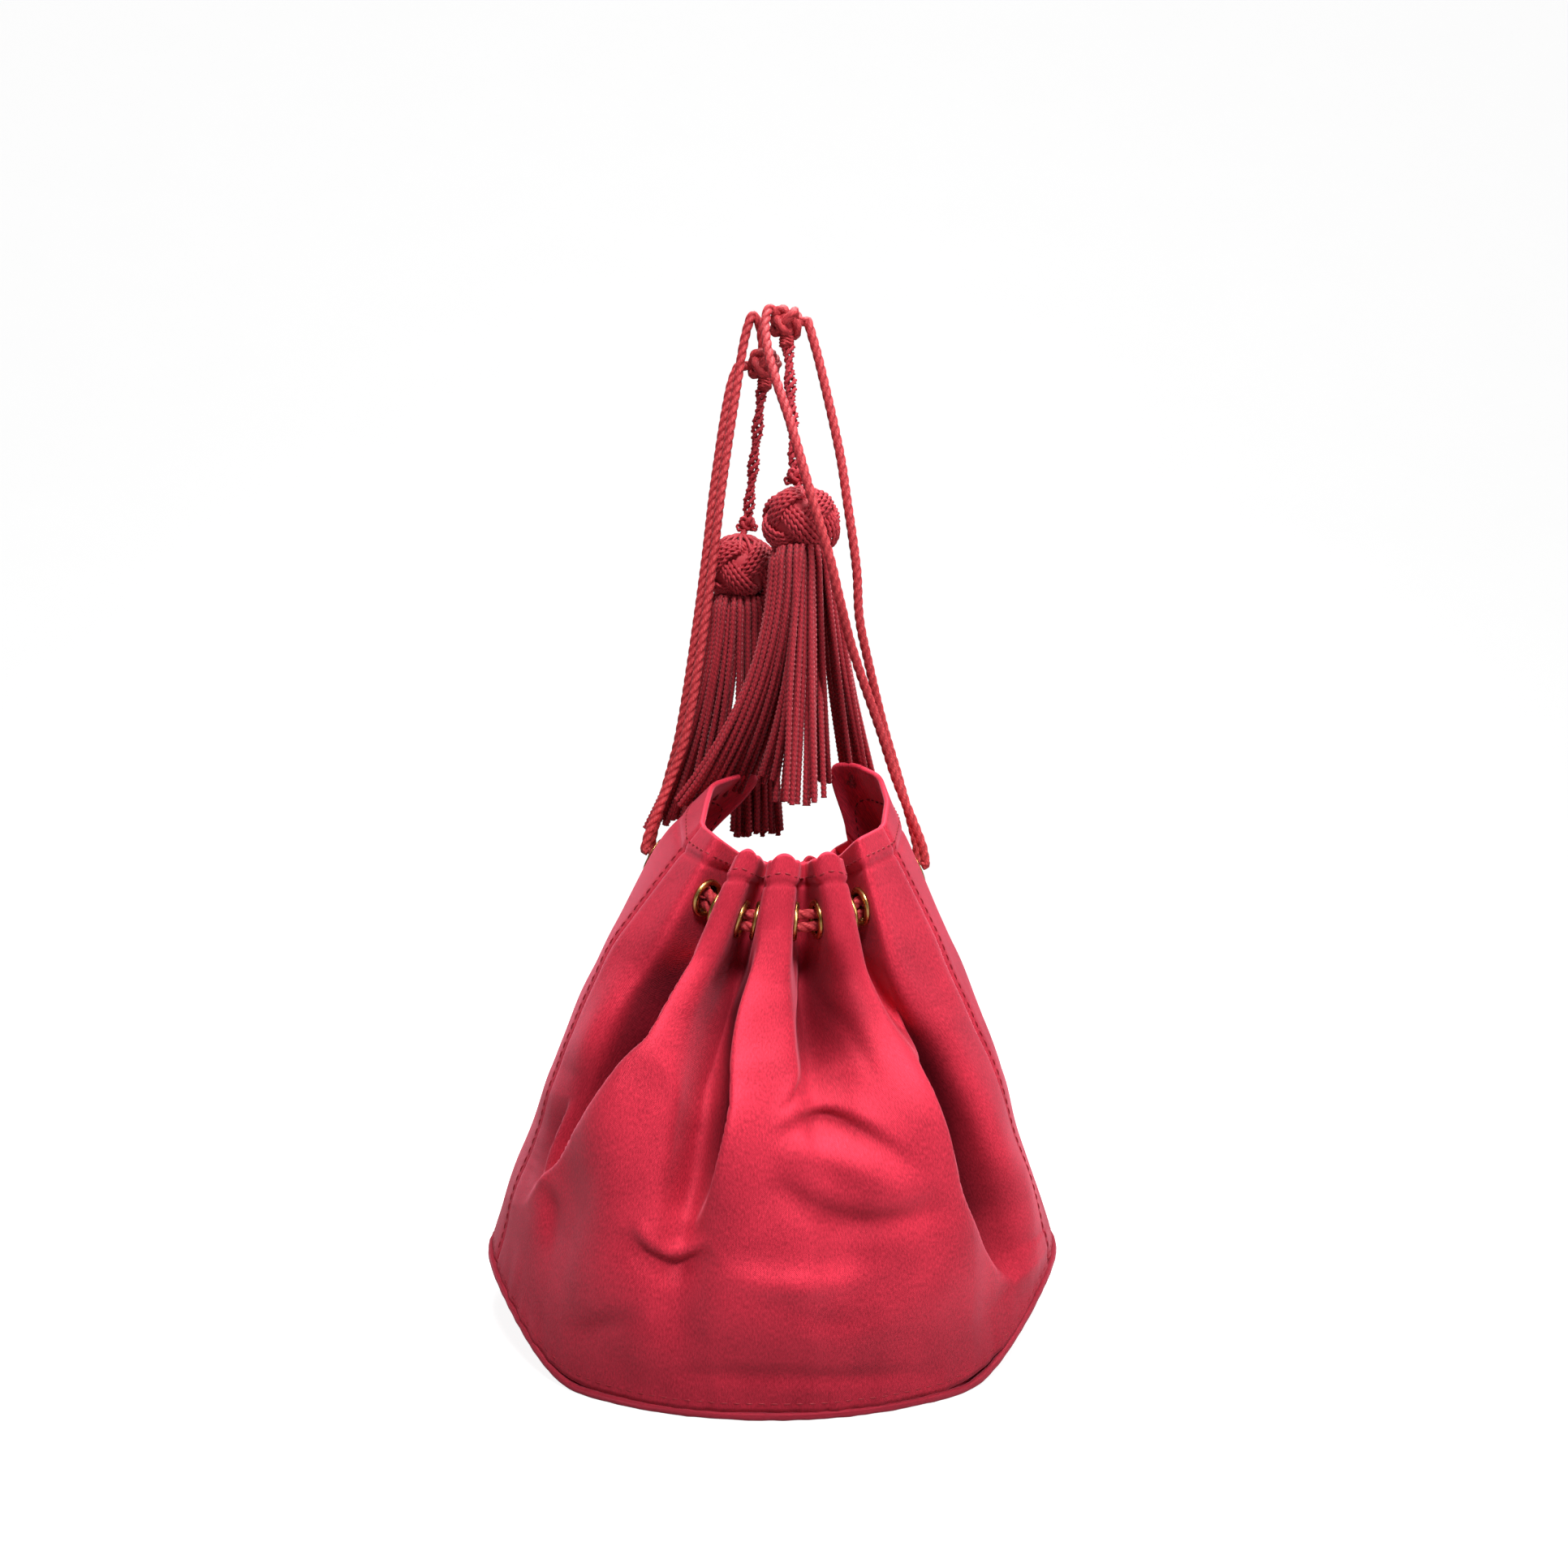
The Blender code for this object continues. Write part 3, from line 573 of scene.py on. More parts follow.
def brass_material():
    """Plated brass, a little brushed, its colour and roughness varying in small random patches."""
    n = Nodes("brass")
    wear = n.noise(n.place("Object"), 260.0, 5.0)
    return n.shade({
        "Base Color": n.ramp(wear, ((0.35, (0.36, 0.19, 0.05)), (0.65, (0.72, 0.47, 0.18)))),
        "Metallic": 1.0,
        "Roughness": n.add(n.times(wear, 0.25), 0.16),
    })


def lining_material():
    """Thin matte twill."""
    n = Nodes("lining")
    place = n.place()
    twill = n.stripes(place, Scale=9.0, Distortion=0.4)
    mix = n.add(n.times(twill, 0.25), n.times(n.noise(place, 0.8, 4.0), 0.7))
    return n.shade({
        "Base Color": n.ramp(mix, ((0.2, (0.10, 0.006, 0.014)), (0.8, (0.20, 0.012, 0.026)))),
        "Roughness": 0.8,
        "Sheen Weight": 0.2,
        "Normal": n.bump(twill, 0.25, 0.0002),
    })


SATIN = satin_material("satin", (0.33, 0.010, 0.025), (0.64, 0.026, 0.056))
PIPING = satin_material("piping_satin", (0.20, 0.009, 0.019), (0.34, 0.016, 0.034))
LINING = lining_material()
BRASS = brass_material()
# The cord carries painted shade in the grooves between its strands.
CORD = yarn_material("cord_yarn", (0.34, 0.020, 0.028), (0.64, 0.060, 0.070), ROPE_PITCH,
                     rough=0.55, groove=1.5)
TASSEL = yarn_material("tassel_yarn", (0.17, 0.009, 0.016), (0.44, 0.024, 0.038), YARN_PITCH * 4,
                       rough=0.58, chain=0.20)
PLAIT = yarn_material("plait_yarn", (0.20, 0.012, 0.021), (0.58, 0.036, 0.054), YARN_PITCH * 4, rough=0.60)
THREAD = yarn_material("thread", (0.16, 0.006, 0.014), (0.30, 0.012, 0.024), 0.1)


# ---- the shape of the wall ----
def lift(x):
    """Height of the bent base at a distance x from its middle."""
    t = min(1.0, max(0.0, (abs(x) - LIFT_START) / (BASE_A - LIFT_START)))
    return LIFT * (t * t * (3 - 2 * t)) ** LIFT_POWER


def base_edge(angle):
    """Point of the base outline; 0 degrees is the middle of the front."""
    x = BASE_A * math.sin(math.radians(angle))
    y = -BASE_B * math.cos(math.radians(angle))
    return Vector((x, y, lift(x)))


def turned_fold(fold):
    """The fold line of the back that answers one of the front."""
    angle, mid, eye, rim = fold

    def turn(p, drop=0.0):
        return (2 * TURN_X - p[0], 2 * TURN_Y - p[1], p[2] - drop)

    return (angle + 180, turn(mid), turn(eye, BACK_RIM_DROP / 2), turn(rim, BACK_RIM_DROP))


def fold_line(fold):
    """The five points that shape one fold line, foot to rim."""
    angle, mid, eye, rim = fold
    foot = base_edge(angle) + Vector((0, 0, 2 * PIPING_R + 2 * CLEAR + FABRIC_T / 2))
    mid = Vector(mid)
    outward = Vector((math.sin(math.radians(angle)), -math.cos(math.radians(angle)), 0))
    swell = BULGE * math.cos(math.radians(angle)) ** 2
    low = foot.lerp(mid, 0.45) + outward * swell
    return (foot, low, mid, Vector(eye), Vector(rim))


FOLDS = FRONT_FOLDS + RIGHT_FOLDS + tuple(turned_fold(f) for f in FRONT_FOLDS) + LEFT_FOLDS
LINES = [fold_line(f) for f in FOLDS]
RIGHT_SEAM = len(FRONT_FOLDS) - 1
BACK_START = len(FRONT_FOLDS) + len(RIGHT_FOLDS)
BACK_END = BACK_START + len(FRONT_FOLDS) - 1
LINE_COUNT = len(LINES)
PLEAT_ROWS = (ROW_BASE, ROW_LOW, ROW_MID, ROW_BAND)
GUSSET_ROWS = (ROW_BASE, ROW_LOW, ROW_MID, ROW_EYE - FLAT_ROWS, ROW_EYE + FLAT_ROWS, ROW_RIM)


def fold_point(line, height):
    """Point of a fold line at a share of the wall height."""
    line %= LINE_COUNT
    foot, low, mid, eye, rim = LINES[line]
    if RIGHT_SEAM < line < BACK_START or line > BACK_END:
        run = (rim - mid) / (ROW_RIM - ROW_MID)
        route = (foot, low, mid, eye - run * FLAT_ROWS, eye + run * FLAT_ROWS, rim)
        return spline(GUSSET_ROWS, route, height)
    run = (rim - eye) / (ROW_RIM - ROW_EYE)
    if height >= ROW_BAND:
        return rim + run * (height - ROW_RIM)
    return spline(PLEAT_ROWS, (foot, low, mid, rim + run * (ROW_BAND - ROW_RIM)), height, end_slope=run)


def wall_point(line, share, height):
    """Point between one fold line and the next."""
    return fold_point(line, height).lerp(fold_point(line + 1, height), share)


def wall_normal(line, share, height):
    """Outward direction of the wall at a point of a flank."""
    step = 0.03
    left, right = max(0.0, share - step), min(1.0, share + step)
    across = wall_point(line, right, height) - wall_point(line, left, height)
    up = wall_point(line, share, min(1.0, height + step)) - wall_point(line, share, height - step)
    return across.cross(up).normalized()


def eyelet_places():
    """(name, line, share) of every eyelet."""
    places = []
    for name, line, share in FRONT_EYELETS:
        places.append(("eyelet_front_" + name, line, share))
        places.append(("eyelet_back_" + name, BACK_START + line, share))
    for name, step, share in SIDE_EYELETS:
        places.append(("eyelet_right_exit_" + name, RIGHT_SEAM + step, share))
        places.append(("eyelet_left_exit_" + name, LINE_COUNT - step - 1, 1 - share))
    return places


EYES = {name: (line, wall_point(line, share, ROW_EYE), wall_normal(line, share, ROW_EYE))
        for name, line, share in eyelet_places()}

COLUMN_STEP = 0.115     # widest distance between two columns
ROWS = 156
HEM_ROW = 0.956         # the hem begins here
HEM_STITCH_ROW = 0.968
HEM_RAISE = 0.05
HEM_GROOVE = 0.06
FACING_ROW = 0.93       # the facing ends here on the inside
FACING_T = 0.085
SEAM_DEPTH = 0.07       # how deep a seam lies
SEAM_REACH = 0.16       # and how wide its hollow is
STITCH_GAP = 0.10
# Along a stitch: (share of its length, share of its thickness, height over the cloth).
STITCH_SHAPE = ((0.0, 0.35, -0.4), (0.2, 0.9, 0.1), (0.5, 1.0, 0.35), (0.8, 0.9, 0.1), (1.0, 0.35, -0.4))
CREASE_STEPS = 4        # straight pieces between two points of a crease
LIP_RISE = 0.40         # share of a crease's depth by which its lip stands out
VALLEY_DROP = 0.85      # share by which its valley lies in
FOOT_DROP = 0.10        # the foot of the wall tucks down onto the piping
SCALLOP = 0.20          # how far a pleat's top drops towards its two folds
PLEAT_TOPS = (4, 8, 12)
LINING_ROW = 0.80       # the lining begins below this row
LINING_NEAR, LINING_FAR = 0.035, 0.075  # its two sides, from the wrong side of the panels
NARROW = 1.35           # a flank narrower than this is one round fold

# Creases of the front, drawn where the camera sees them on an upright sheet through the middle of the bag:
# (x, z, depth). A steep one drops on its line towards one side (+1 is right of a falling line or above one
# that runs right, -1 the other side) over `steep` and runs out over `width`; its lip leans over by `lean`.
# Each entry is (side, steep, width, lean, places).
STEEP_CREASES = (
    (-1, 0.24, 1.35, 0.42, (
        (-2.30, 13.2, 0.0), (-2.6, 12.3, 0.15), (-2.92, 11.0, 0.85), (-3.30, 9.8, 1.25), (-3.75, 9.0, 1.30),
        (-4.6, 8.2, 1.30), (-5.25, 7.35, 1.20), (-6.0, 6.25, 1.00), (-6.8, 5.3, 0.70), (-7.4, 4.7, 0.42),
        (-8.2, 4.1, 0.15), (-8.8, 3.2, 0.0))),
    (-1, 0.24, 1.00, 0.34, (
        (-0.35, 13.2, 0.0), (-0.45, 12.3, 0.20), (-0.62, 10.8, 0.95), (-0.78, 9.5, 1.30),
        (-0.86, 8.3, 1.40), (-0.90, 7.2, 1.30), (-1.15, 6.0, 1.10), (-1.6, 4.7, 0.80), (-2.1, 3.6, 0.42),
        (-2.7, 2.5, 0.0))),
    (1, 0.26, 1.10, 0.15, (
        (0.66, 13.2, 0.0), (0.68, 12.6, 0.12), (0.72, 11.6, 0.42), (0.60, 10.2, 0.60), (0.66, 9.0, 0.55),
        (0.75, 8.0, 0.35), (0.5, 7.3, 0.15), (0.1, 6.9, 0.0))),
    (1, 0.36, 1.50, 0.10, (
        (3.7, 12.15, 0.0), (4.05, 11.2, 0.15), (4.5, 9.6, 0.50), (4.9, 8.3, 1.10), (5.25, 7.25, 1.45),
        (5.75, 5.75, 1.50), (6.25, 4.05, 1.35), (6.85, 2.65, 1.10), (7.25, 1.8, 0.80), (7.85, 0.95, 0.45),
        (8.4, 0.45, 0.0))),
    (-1, 0.60, 0.70, 0.08, (
        (-0.3, 6.0, 0.0), (0.4, 6.50, 0.22), (1.0, 6.85, 0.36), (1.8, 7.00, 0.42), (2.6, 6.85, 0.38),
        (3.4, 6.45, 0.28), (4.2, 5.9, 0.16), (5.0, 5.3, 0.06), (5.7, 4.8, 0.0))),
    (-1, 0.48, 0.55, 0.05, (
        (-4.9, 2.8, 0.0), (-4.5, 2.25, 0.18), (-4.1, 1.90, 0.30), (-3.55, 1.70, 0.34), (-2.9, 1.90, 0.24),
        (-2.3, 2.2, 0.0))),
    (-1, 0.14, 0.45, 0.15, (
        (-7.4, 7.1, 0.0), (-7.75, 6.0, 0.28), (-8.0, 5.1, 0.28), (-8.3, 3.9, 0.0))),
)
# Soft ones: width, then (x, z, height), where a hollow is negative.
SOFT_CREASES = (
    (0.55, (
        (-5.3, 12.1, 0.0), (-5.7, 11.0, 0.18), (-6.3, 9.8, 0.28), (-6.7, 9.0, 0.22), (-7.2, 8.0, 0.0))),
    (0.50, (
        (-2.6, 12.1, 0.0), (-3.0, 9.8, 0.22), (-3.2, 8.3, 0.25), (-3.1, 6.9, 0.22), (-2.8, 5.8, 0.0))),
    (1.10, (
        (1.5, 12.6, 0.0), (1.8, 11.2, -0.35), (2.1, 9.8, -0.50), (2.3, 8.8, -0.45), (2.5, 8.1, -0.15))),
    (0.30, (
        (1.6, 12.0, 0.0), (2.0, 10.7, -0.10), (2.8, 9.6, -0.14), (3.4, 8.4, -0.10), (3.8, 7.6, 0.0))),
    (0.85, (
        (-0.8, 5.7, 0.0), (0.6, 5.6, 0.18), (2.0, 5.3, 0.34), (3.4, 4.7, 0.34), (4.6, 4.0, 0.20),
        (5.4, 3.7, 0.0))),
    (0.50, (
        (-0.4, 4.2, 0.0), (0.45, 3.8, -0.14), (1.6, 3.1, -0.24), (2.4, 2.8, -0.26), (4.0, 2.7, -0.24),
        (5.4, 3.1, -0.12), (6.3, 3.6, 0.0))),
    (0.60, (
        (5.9, 10.4, 0.0), (6.4, 9.4, 0.20), (6.9, 8.4, 0.32), (7.45, 7.1, 0.35), (8.05, 5.5, 0.35),
        (8.6, 4.3, 0.32), (9.1, 2.5, 0.28), (9.0, 1.2, 0.20), (8.3, 0.4, 0.0))),
    (0.32, (
        (-8.0, 4.2, 0.0), (-7.9, 3.3, -0.16), (-7.9, 2.4, -0.12), (-7.9, 1.6, 0.0))),
    (0.45, (
        (-4.4, 2.4, 0.0), (-3.9, 2.0, -0.10), (-3.2, 2.1, -0.12), (-2.6, 2.5, 0.0))),
    (0.45, (
        (-7.6, -1.3, 0.0), (-6.0, -0.9, -0.14), (-4.4, -0.6, 0.0))),
    (0.35, (
        (-4.4, -2.5, 0.0), (-1.0, -2.75, -0.09), (3.0, -2.8, -0.09), (6.6, -2.6, 0.0))),
    (0.50, (
        (-2.3, 1.2, 0.0), (-0.5, 0.6, 0.14), (2.0, 0.6, 0.16), (4.6, 1.2, 0.0))),
    (0.40, (
        (0.2, -0.4, 0.0), (2.0, -0.8, -0.08), (4.4, -0.5, 0.0))),
)


def seen_from_front(points):
    """Where the camera sees the points on the upright sheet y = 0."""
    eye = np.array(CAMERA_PLACE) / CM
    share = -eye[1] / (points[..., 1] - eye[1])
    return eye[0] + (points[..., 0] - eye[0]) * share, eye[2] + (points[..., 2] - eye[2]) * share


def nearest_on_route(x, z, route):
    """Signed distance to a route, its height there and the direction across it."""
    reach = np.full(x.shape, 1e9)
    height = np.zeros(x.shape)
    across = np.zeros(x.shape + (2,))
    route = smooth_path([Vector(place) for place in route], CREASE_STEPS)
    for (ax, az, ah), (bx, bz, bh) in zip(route, route[1:]):
        dx, dz = bx - ax, bz - az
        size = math.hypot(dx, dz)
        t = np.clip(((x - ax) * dx + (z - az) * dz) / size ** 2, 0, 1)
        away = np.hypot(x - ax - t * dx, z - az - t * dz)
        side = np.where(dx * (z - az) - dz * (x - ax) > 0, 1.0, -1.0)
        closer = away < np.abs(reach)
        reach = np.where(closer, away * side, reach)
        height = np.where(closer, ah + (bh - ah) * t, height)
        across = np.where(closer[..., None], np.array((-dz, dx)) / size, across)
    return reach, height, across


def crease_shift(points):
    """How far each point of the front is moved outward, and to the side, by the creases."""
    x, z = seen_from_front(points)
    front = smoothstep((-points[..., 1] - 1.0) / 1.6)
    shift = np.zeros(x.shape)
    slide = np.zeros(points.shape)
    for side, steep, width, lean, route in STEEP_CREASES:
        reach, depth, across = nearest_on_route(x, z, route)
        reach = reach * side
        drop = smoothstep(reach / steep)
        run_out = np.exp(-(np.maximum(reach - steep, 0) / width) ** 2)
        lip = np.exp(-(np.minimum(reach, 0) / (width * 0.8)) ** 2)
        shift += front * depth * (LIP_RISE * lip * (1 - drop) - VALLEY_DROP * drop * run_out)
        pull = front * depth * lean * side * np.exp(-(reach / (width * 0.6)) ** 2) * (1 - drop * 0.85)
        slide[..., 0] += pull * across[..., 0]
        slide[..., 2] += pull * across[..., 1]
    for width, route in SOFT_CREASES:
        reach, height, _ = nearest_on_route(x, z, route)
        shift += front * height * np.exp(-(reach / width) ** 2)
    return shift, slide


def wall_columns():
    """Line and share of every column of the fine wall."""
    lines = []
    shares = []
    for line in range(LINE_COUNT):
        width = max((fold_point(line, h) - fold_point(line + 1, h)).length for h in (0.1, ROW_MID, ROW_EYE))
        count = max(4, int(math.ceil(width / COLUMN_STEP)))
        for k in range(count):
            lines.append(line)
            shares.append(k / count)
    return np.array(lines), np.array(shares)


def round_bend(a, tip, b, s):
    """Point at share s of the round bend that runs from a to b round a fold's tip."""
    return (1 - s) ** 2 * a + 2 * s * (1 - s) * tip + s ** 2 * b


def fine_wall(heights):
    """The middle of the fabric as a grid of points (columns, rows, 3), with rounded folds."""
    lines, shares = wall_columns()
    folds = np.array([[tuple(fold_point(line, h)) for line in range(LINE_COUNT)] for h in heights])
    eye_width = np.array([(fold_point(i, ROW_EYE) - fold_point(i + 1, ROW_EYE)).length
                          for i in range(LINE_COUNT)])
    tight = np.where(eye_width < NARROW, 0.5, np.minimum(MOST_CORNER, CORNER / eye_width))
    grid = np.zeros((len(lines), len(heights), 3))
    before = (lines - 1) % LINE_COUNT
    after = (lines + 1) % LINE_COUNT
    beyond = (lines + 2) % LINE_COUNT
    for j, height in enumerate(heights):
        ease = smoothstep((height - 0.50) / 0.30)
        turn = 0.5 + (tight - 0.5) * ease
        p = folds[j]
        start, end = p[lines], p[after]
        r, r_before, r_after = turn[lines][:, None], turn[before][:, None], turn[after][:, None]
        t = shares[:, None]
        flat = start + (end - start) * t
        s = 0.5 + 0.5 * np.minimum(t / r, 1.0)
        a = start + (p[before] - start) * r_before
        b = start + (end - start) * r
        first = round_bend(a, start, b, s)
        s = 0.5 * np.clip((t - (1 - r)) / r, 0.0, 1.0)
        a = end + (start - end) * r
        b = end + (p[beyond] - end) * r_after
        last = round_bend(a, end, b, s)
        grid[:, j] = np.where(t < r, first, np.where(t > 1 - r, last, flat))
    return lines, shares, grid


def grid_normals(grid):
    """Outward directions of a wall grid that closes on itself."""
    across = np.roll(grid, -1, axis=0) - np.roll(grid, 1, axis=0)
    up = np.gradient(grid, axis=1)
    return unit(np.cross(across, up))


def noise_at(points, size, seed):
    """Smooth noise at many points."""
    flat = points.reshape(-1, 3) / size + seed
    return np.array([noise.noise(Vector(p)) for p in flat]).reshape(points.shape[:-1])


CREASE_PAINTED_SHADE_GAIN = 0.92        # painted shade and light: how much a crease's depth darkens the cloth, and a lip's rise lightens it
FOOT_PAINTED_SHADE = 0.22        # painted shade: how much darker the cloth is made towards its foot
# the most painted shade and the most painted light that the cloth gets
PAINTED_SHADE_MOST, PAINTED_LIGHT_MOST = -0.80, 0.08
INSIDE_PAINTED_LIGHT = 0.60      # painted light, making the wrong side of the satin and the hem's curl paler


def shape_wall(wall, out):
    """Add creases, puckers and slack to the wall, with painted shade in creases and foot, painted light on
    lips.
    """
    calm = 1 - smoothstep((HEIGHTS - 0.70) / 0.10)[None, :]
    foot = np.exp(-HEIGHTS / 0.05)[None, :]
    creases, slide = crease_shift(wall)
    creases = creases * smoothstep(HEIGHTS / 0.06)[None, :]
    slide = slide * smoothstep(HEIGHTS / 0.06)[None, :, None]
    # Painted shade: darker with a crease's depth and towards the foot; painted light: a little paler on a
    # lip.
    painted_light_and_shade = creases * CREASE_PAINTED_SHADE_GAIN - FOOT_PAINTED_SHADE * (1 - smoothstep(HEIGHTS / 0.28))[None, :]
    painted_light_and_shade = np.clip(painted_light_and_shade, PAINTED_SHADE_MOST, PAINTED_LIGHT_MOST)
    slack = noise_at(wall, 2.6, 11.0) * 0.14
    ripples = noise_at(wall * (1, 1, 0.45), 0.9, 5.0) * 0.035
    shift = slack * calm * smoothstep(HEIGHTS / 0.15)[None, :]
    shift = shift + ripples * calm * smoothstep(HEIGHTS / 0.04)[None, :]
    along = np.cumsum(np.linalg.norm(np.roll(wall[:, 0], -1, axis=0) - wall[:, 0], axis=1))
    pucker = noise_at(np.stack([along, along * 0, along * 0], axis=1), 0.42, 3.0)
    shift = shift + pucker[:, None] * 0.05 * foot
    away = unit(np.stack([0.55 * wall[..., 0], wall[..., 1], np.zeros(shift.shape)], axis=2))
    wall = wall + away * creases[..., None] + out * shift[..., None] + slide
    for start in (0, BACK_START):
        for top in PLEAT_TOPS:
            for line, sides in ((top - 1, (0, 1)), (top, (1, 1)), (top + 1, (1, 0))):
                chosen = WALL_LINES == start + line
                share = WALL_SHARES[chosen]
                drop = (2 * share - 1) ** 2 if line == top else sides[0] + (sides[1] - sides[0]) * share
                wall[chosen, :, 2] -= SCALLOP * drop[:, None] * smoothstep((HEIGHTS - 0.92) / 0.08)[None, :]
    wall[..., 2] -= FOOT_DROP * np.exp(-HEIGHTS / 0.008)[None, :]
    return wall, grid_normals(wall), painted_light_and_shade


HEIGHTS = np.linspace(0.0, 1.0, ROWS)
WALL_LINES, WALL_SHARES, PLAIN_WALL = fine_wall(HEIGHTS)
WALL, WALL_OUT, PAINTED_LIGHT_AND_SHADE = shape_wall(PLAIN_WALL, grid_normals(PLAIN_WALL))
# Texture places in centimetres: round the bag, measured a third of the way up, and up the wall.
ROUND = run_lengths(WALL[:, ROWS // 3])
UP = run_lengths(WALL[len(WALL) // 8])


def eyelet_cells(points, lines):
    """Which cells of a wall grid lie in an eyelet's hole."""
    hole = np.zeros(points.shape[:2], bool)
    for line, centre, normal in EYES.values():
        away = points - np.array(tuple(centre))
        depth = away @ np.array(tuple(normal))
        reach = np.sqrt(np.maximum(np.sum(away ** 2, axis=2) - depth ** 2, 0))
        near = (np.abs(depth) < 0.7) & (reach < FABRIC_HOLE_R)
        hole |= near & (np.abs(lines - line) <= 1)[:, None]
    return hole


def seam_column(seam):
    return int(np.where((WALL_LINES == seam) & (WALL_SHARES == 0))[0][0])


def seam_dip(seams):
    """How close each column is to a seam, 1 on it."""
    ring = WALL[:, ROWS // 3]
    near = np.zeros(len(ring))
    for seam in seams:
        away = np.linalg.norm(ring - ring[seam_column(seam)], axis=1)
        near = np.maximum(near, np.exp(-(away / SEAM_REACH) ** 2))
    return near


SEAMS = (0, RIGHT_SEAM, BACK_START, BACK_END)
SEAM_DIP = seam_dip(SEAMS)


def panel(node, first, last):
    """One fabric panel with thickness, a folded hem at the rim and holes for its eyelets."""
    chosen = [i for i, line in enumerate(WALL_LINES) if first <= line < last]
    chosen.append((chosen[-1] + 1) % len(WALL_LINES))
    mid = WALL[chosen]
    out = WALL_OUT[chosen]
    dip = SEAM_DIP[chosen][:, None, None] * SEAM_DEPTH
    hem = smoothstep((HEIGHTS - HEM_ROW + 0.01) / 0.012)
    facing = smoothstep((HEIGHTS - FACING_ROW) / 0.01)
    groove = np.exp(-((HEIGHTS - HEM_ROW + 0.006) / 0.006) ** 2)
    front = mid + out * (FABRIC_T / 2 + (HEM_RAISE * hem - HEM_GROOVE * groove)[None, :, None] - dip)
    back = mid - out * (FABRIC_T / 2 + FACING_T * facing[None, :, None] + dip)
    cols, rows = len(chosen), ROWS
    up = unit(np.gradient(mid, axis=1))
    half = (front[:, -1] - back[:, -1]) / 2
    middle = (front[:, -1] + back[:, -1]) / 2
    size = np.linalg.norm(half, axis=1, keepdims=True)
    curl = [middle + half * math.cos(a) + up[:, -1] * size * math.sin(a)
            for a in (math.pi * k / 6 for k in range(1, 6))]
    profile = np.concatenate([front, np.stack(curl, axis=1), back[:, ::-1]], axis=1)
    tall = profile.shape[1]
    heights = np.concatenate([UP, [UP[-1] + 0.03] * len(curl), UP[::-1]])
    keep_round = ROUND[np.array(chosen)]
    if chosen[-1] == 0:
        keep_round[-1] = 2 * keep_round[-2] - keep_round[-3]
    places = np.stack(np.broadcast_arrays(keep_round[:, None], heights[None, :]), axis=2)
    centre = (mid[:-1, :-1] + mid[1:, 1:]) / 2
    hole = eyelet_cells(centre, WALL_LINES[chosen[:-1]])
    faces = []

    def at(i, j):
        return i * tall + j

    def opposite(j):
        return tall - 1 - j

    for i in range(cols - 1):
        for j in range(tall - 1):
            k = min(j, opposite(j + 1))
            if k < rows - 1 and hole[i, k]:
                continue
            faces.append((at(i, j), at(i + 1, j), at(i + 1, j + 1), at(i, j + 1)))
        faces.append((at(i, 0), at(i, tall - 1), at(i + 1, tall - 1), at(i + 1, 0)))
    for i in range(cols - 1):
        for k in range(rows - 1):
            if not hole[i, k]:
                continue
            o, p = opposite(k), opposite(k + 1)
            if not hole[i, k - 1]:
                faces.append((at(i + 1, k), at(i + 1, o), at(i, o), at(i, k)))
            if not hole[i, k + 1]:
                faces.append((at(i, k + 1), at(i, p), at(i + 1, p), at(i + 1, k + 1)))
            if not hole[i - 1, k]:
                faces.append((at(i, o), at(i, p), at(i, k + 1), at(i, k)))
            if not hole[i + 1, k]:
                faces.append((at(i + 1, k), at(i + 1, k + 1), at(i + 1, p), at(i + 1, o)))
    for i in (0, cols - 1):
        for j in range(tall // 2):
            face = (at(i, j), at(i, j + 1), at(i, opposite(j + 1)), at(i, opposite(j)))
            face = tuple(dict.fromkeys(face))       # the last one, on the rim, is a triangle
            faces.append(face[::-1] if i else face)
    builder = Builder()
    builder.add(profile.reshape(-1, 3), faces, places.reshape(-1, 2))
    obj = builder.make(node + "_satin", SATIN, "bag", node)
    # Painted light on the hem's curl and the panel's wrong side: paler colour, more gloss and sheen; the
    # outside carries the wall's painted shade and light.
    painted_light_and_shade = np.pad(PAINTED_LIGHT_AND_SHADE[chosen], ((0, 0), (0, tall - rows)), constant_values=INSIDE_PAINTED_LIGHT)
    obj.data.attributes.new("painted_light_and_shade", 'FLOAT', 'POINT').data.foreach_set("value", painted_light_and_shade.ravel())


def make_panels():
    """The four outer panels."""
    for node, first, last in (("front_panel", 0, RIGHT_SEAM), ("right_gusset", RIGHT_SEAM, BACK_START),
                              ("back_panel", BACK_START, BACK_END), ("left_gusset", BACK_END, LINE_COUNT)):
        panel(node, first, last)


def make_lining():
    """The inner bag: a thin sheet just inside the panels. It ends below the eyelets."""
    keep = np.arange(2, int(ROWS * LINING_ROW), 2)
    cols = np.arange(0, len(WALL), 2)
    mid = WALL[cols][:, keep]
    out = WALL_OUT[cols][:, keep]
    outer = mid - out * (FABRIC_T / 2 + LINING_NEAR)
    inner = mid - out * (FABRIC_T / 2 + LINING_FAR)
    profile = np.concatenate([outer, inner[:, ::-1]], axis=1)
    count, tall = profile.shape[:2]
    faces = []

    def at(i, j):
        return (i % count) * tall + j

    for i in range(count):
        for j in range(tall - 1):
            faces.append((at(i, j), at(i + 1, j), at(i + 1, j + 1), at(i, j + 1)))
        faces.append((at(i, 0), at(i, tall - 1), at(i + 1, tall - 1), at(i + 1, 0)))
    heights = np.concatenate([UP[keep], UP[keep][::-1]])
    places = np.stack(np.broadcast_arrays(ROUND[cols][:, None], heights[None, :]), axis=2)
    builder = Builder()
    builder.add(profile.reshape(-1, 3), faces, places.reshape(-1, 2))
    obj = builder.make("lining_twill", LINING, "bag", "lining")


